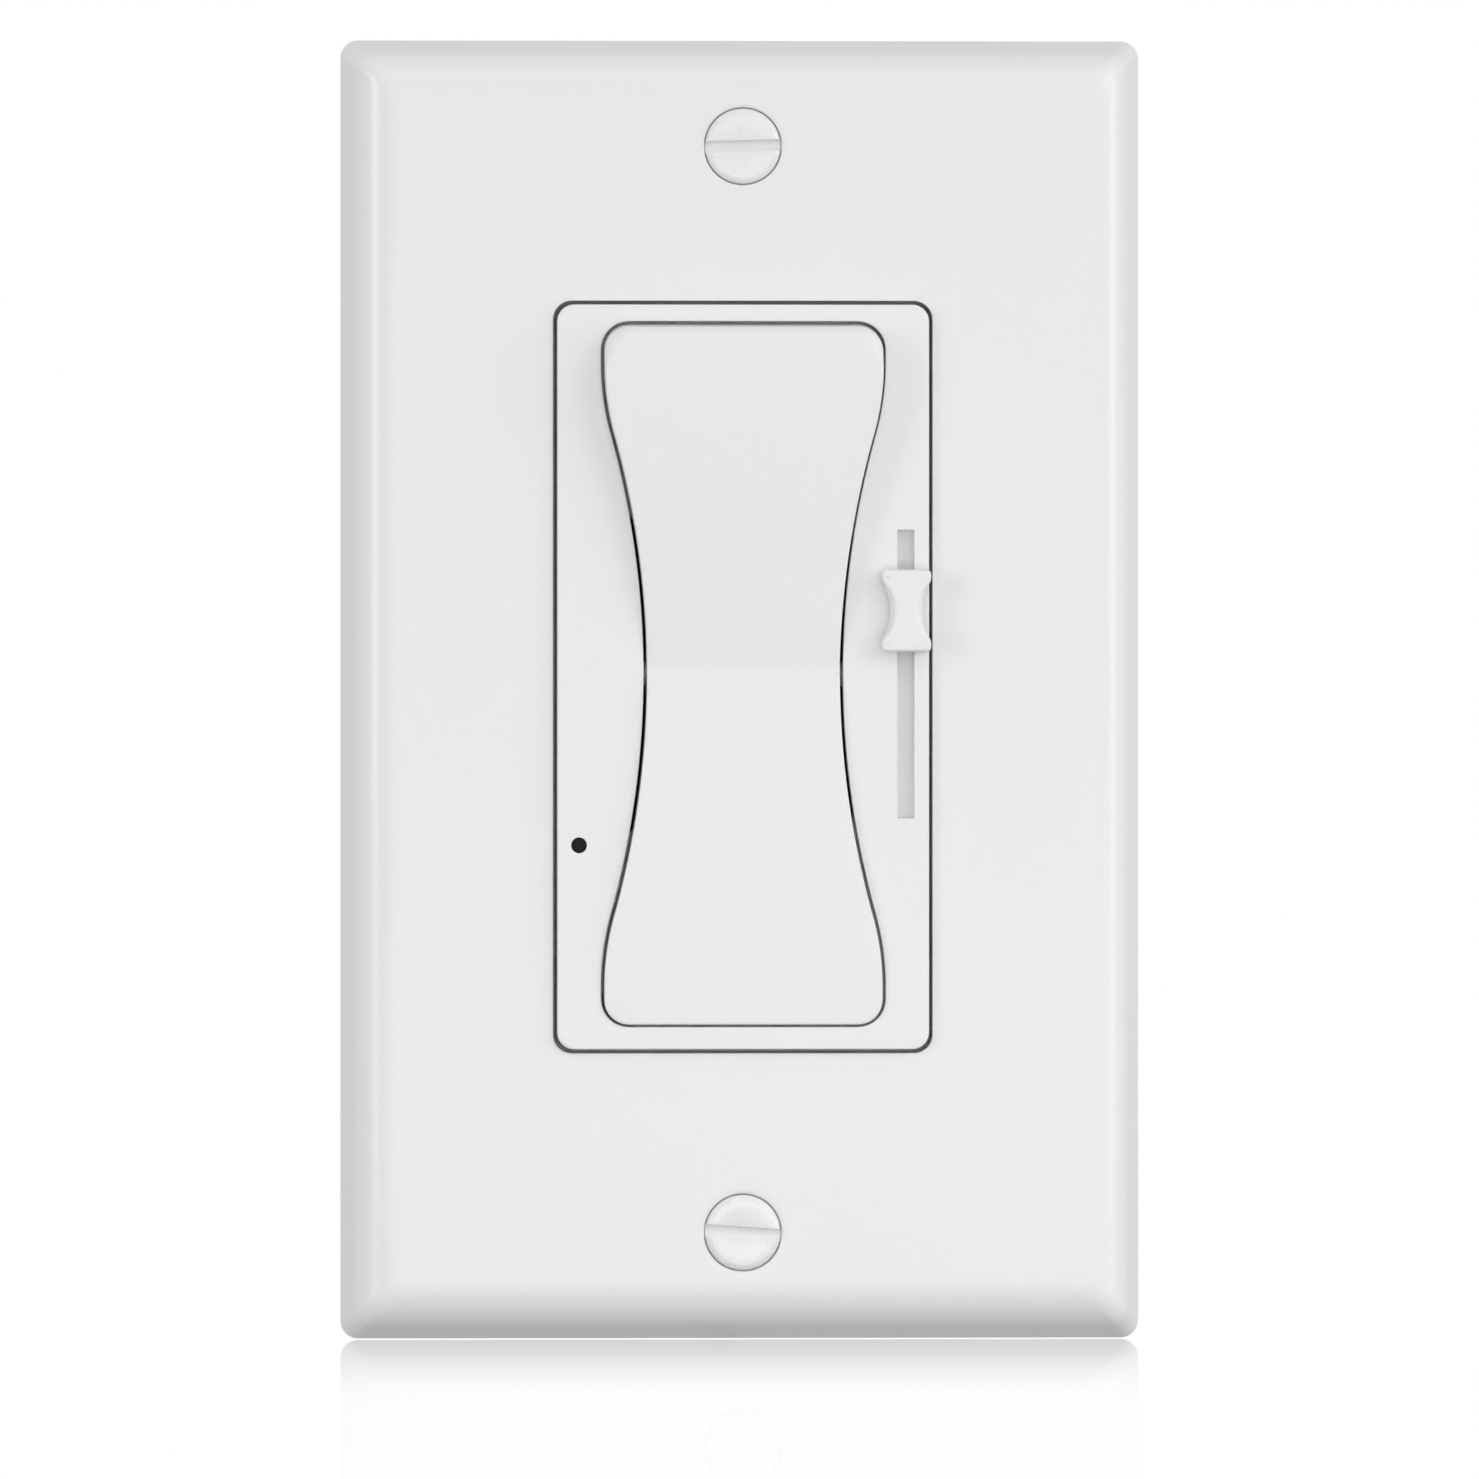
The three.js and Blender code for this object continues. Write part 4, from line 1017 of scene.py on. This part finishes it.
def camera():
    """Level and nearly straight on, from a little to the left, with the object above the middle."""
    data = bpy.data.cameras.new("camera")
    data.lens = LENS
    data.sensor_width = SENSOR
    data.clip_start, data.clip_end = 0.01, 20
    made = bpy.data.objects.new("camera", data)
    distance = VIEW_SPAN * MM * LENS / SENSOR
    made.location = (-distance * math.sin(VIEW_TURN), -distance * math.cos(VIEW_TURN), EYE_Z * MM)
    made.rotation_euler = (math.pi / 2, 0, -VIEW_TURN)
    bpy.context.scene.collection.objects.link(made)
    bpy.context.scene.camera = made


def area_light(name, position, width, height, power, aim):
    """A soft light that faces aim and isn't seen itself."""
    data = bpy.data.lights.new(name, "AREA")
    data.shape = "RECTANGLE"
    data.size, data.size_y = width, height
    data.energy = power
    made = bpy.data.objects.new(name, data)
    made.location = position
    made.rotation_euler = (Vector(aim) - Vector(position)).to_track_quat("-Z", "Y").to_euler()
    made.visible_camera = False
    bpy.context.scene.collection.objects.link(made)


def studio():
    """White surroundings, a key light from the upper right and weaker ones around the front."""
    scene = bpy.context.scene
    scene.view_settings.view_transform = "Standard"
    world = bpy.data.worlds.new("studio")
    scene.world = world
    world.use_nodes = True
    tree = world.node_tree
    seen = tree.nodes["Background"]
    seen.inputs["Color"].default_value = WHITE
    lighting = node(tree, "ShaderNodeBackground", Color=WHITE, Strength=SKY_LIGHT)
    path = node(tree, "ShaderNodeLightPath")
    direct = node(tree, "ShaderNodeMath", operation="MAXIMUM")
    tree.links.new(path.outputs["Is Camera Ray"], direct.inputs[0])
    tree.links.new(path.outputs["Is Singular Ray"], direct.inputs[1])
    mix = node(tree, "ShaderNodeMixShader")
    tree.links.new(direct.outputs["Value"], mix.inputs["Fac"])
    tree.links.new(lighting.outputs["Background"], mix.inputs[1])
    tree.links.new(seen.outputs["Background"], mix.inputs[2])
    tree.links.new(mix.outputs["Shader"], tree.nodes["World Output"].inputs["Surface"])
    for name, settings in LIGHTS.items():
        area_light(name, *settings)
    floor()


def floor():
    """A pale floor that mirrors the foot of the plate faintly and fades to white in front of it."""
    skin = Skin()
    signs = ((-1, -1), (1, -1), (1, 1), (-1, 1))
    corners = [(x * FLOOR_REACH, y * FLOOR_REACH, FLOOR_Z) for x, y in signs]
    skin.mesh.faces.new(skin.row(corners))
    made = skin.as_object("floor")
    material = bpy.data.materials.new("floor")
    material.use_nodes = True
    tree = material.node_tree
    tree.nodes.remove(tree.nodes["Principled BSDF"])
    place = node(tree, "ShaderNodeSeparateXYZ")
    tree.links.new(node(tree, "ShaderNodeTexCoord").outputs["Object"], place.inputs["Vector"])
    fade = node(tree, "ShaderNodeMapRange", interpolation_type="SMOOTHSTEP")
    fade.inputs["From Min"].default_value = -0.24
    fade.inputs["From Max"].default_value = 0.04
    fade.inputs["To Min"].default_value = 0.06
    fade.inputs["To Max"].default_value = 0.62
    tree.links.new(place.outputs["Y"], fade.inputs["Value"])
    white = node(tree, "ShaderNodeEmission", Color=WHITE, Strength=1.0)
    gloss = node(tree, "ShaderNodeBsdfGlossy", Color=WHITE, Roughness=0.0)
    mirror = node(tree, "ShaderNodeMixShader")
    tree.links.new(fade.outputs["Result"], mirror.inputs["Fac"])
    tree.links.new(white.outputs["Emission"], mirror.inputs[1])
    tree.links.new(gloss.outputs["BSDF"], mirror.inputs[2])
    pale = node(tree, "ShaderNodeEmission", Color=WHITE, Strength=FLOOR_LIGHT)
    path = node(tree, "ShaderNodeLightPath")
    shown = node(tree, "ShaderNodeMixShader")
    tree.links.new(path.outputs["Is Camera Ray"], shown.inputs["Fac"])
    tree.links.new(pale.outputs["Emission"], shown.inputs[1])
    tree.links.new(mirror.outputs["Shader"], shown.inputs[2])
    tree.links.new(shown.outputs["Shader"], tree.nodes["Material Output"].inputs["Surface"])
    made.data.materials.append(material)


camera()
dress_cad_nodes()
wall_plate()
bezel()
paddle()
dimmer_knob()
slide_shutter()
screws()
mounting_strap()
rear_housing()
choke_winding()
studio()
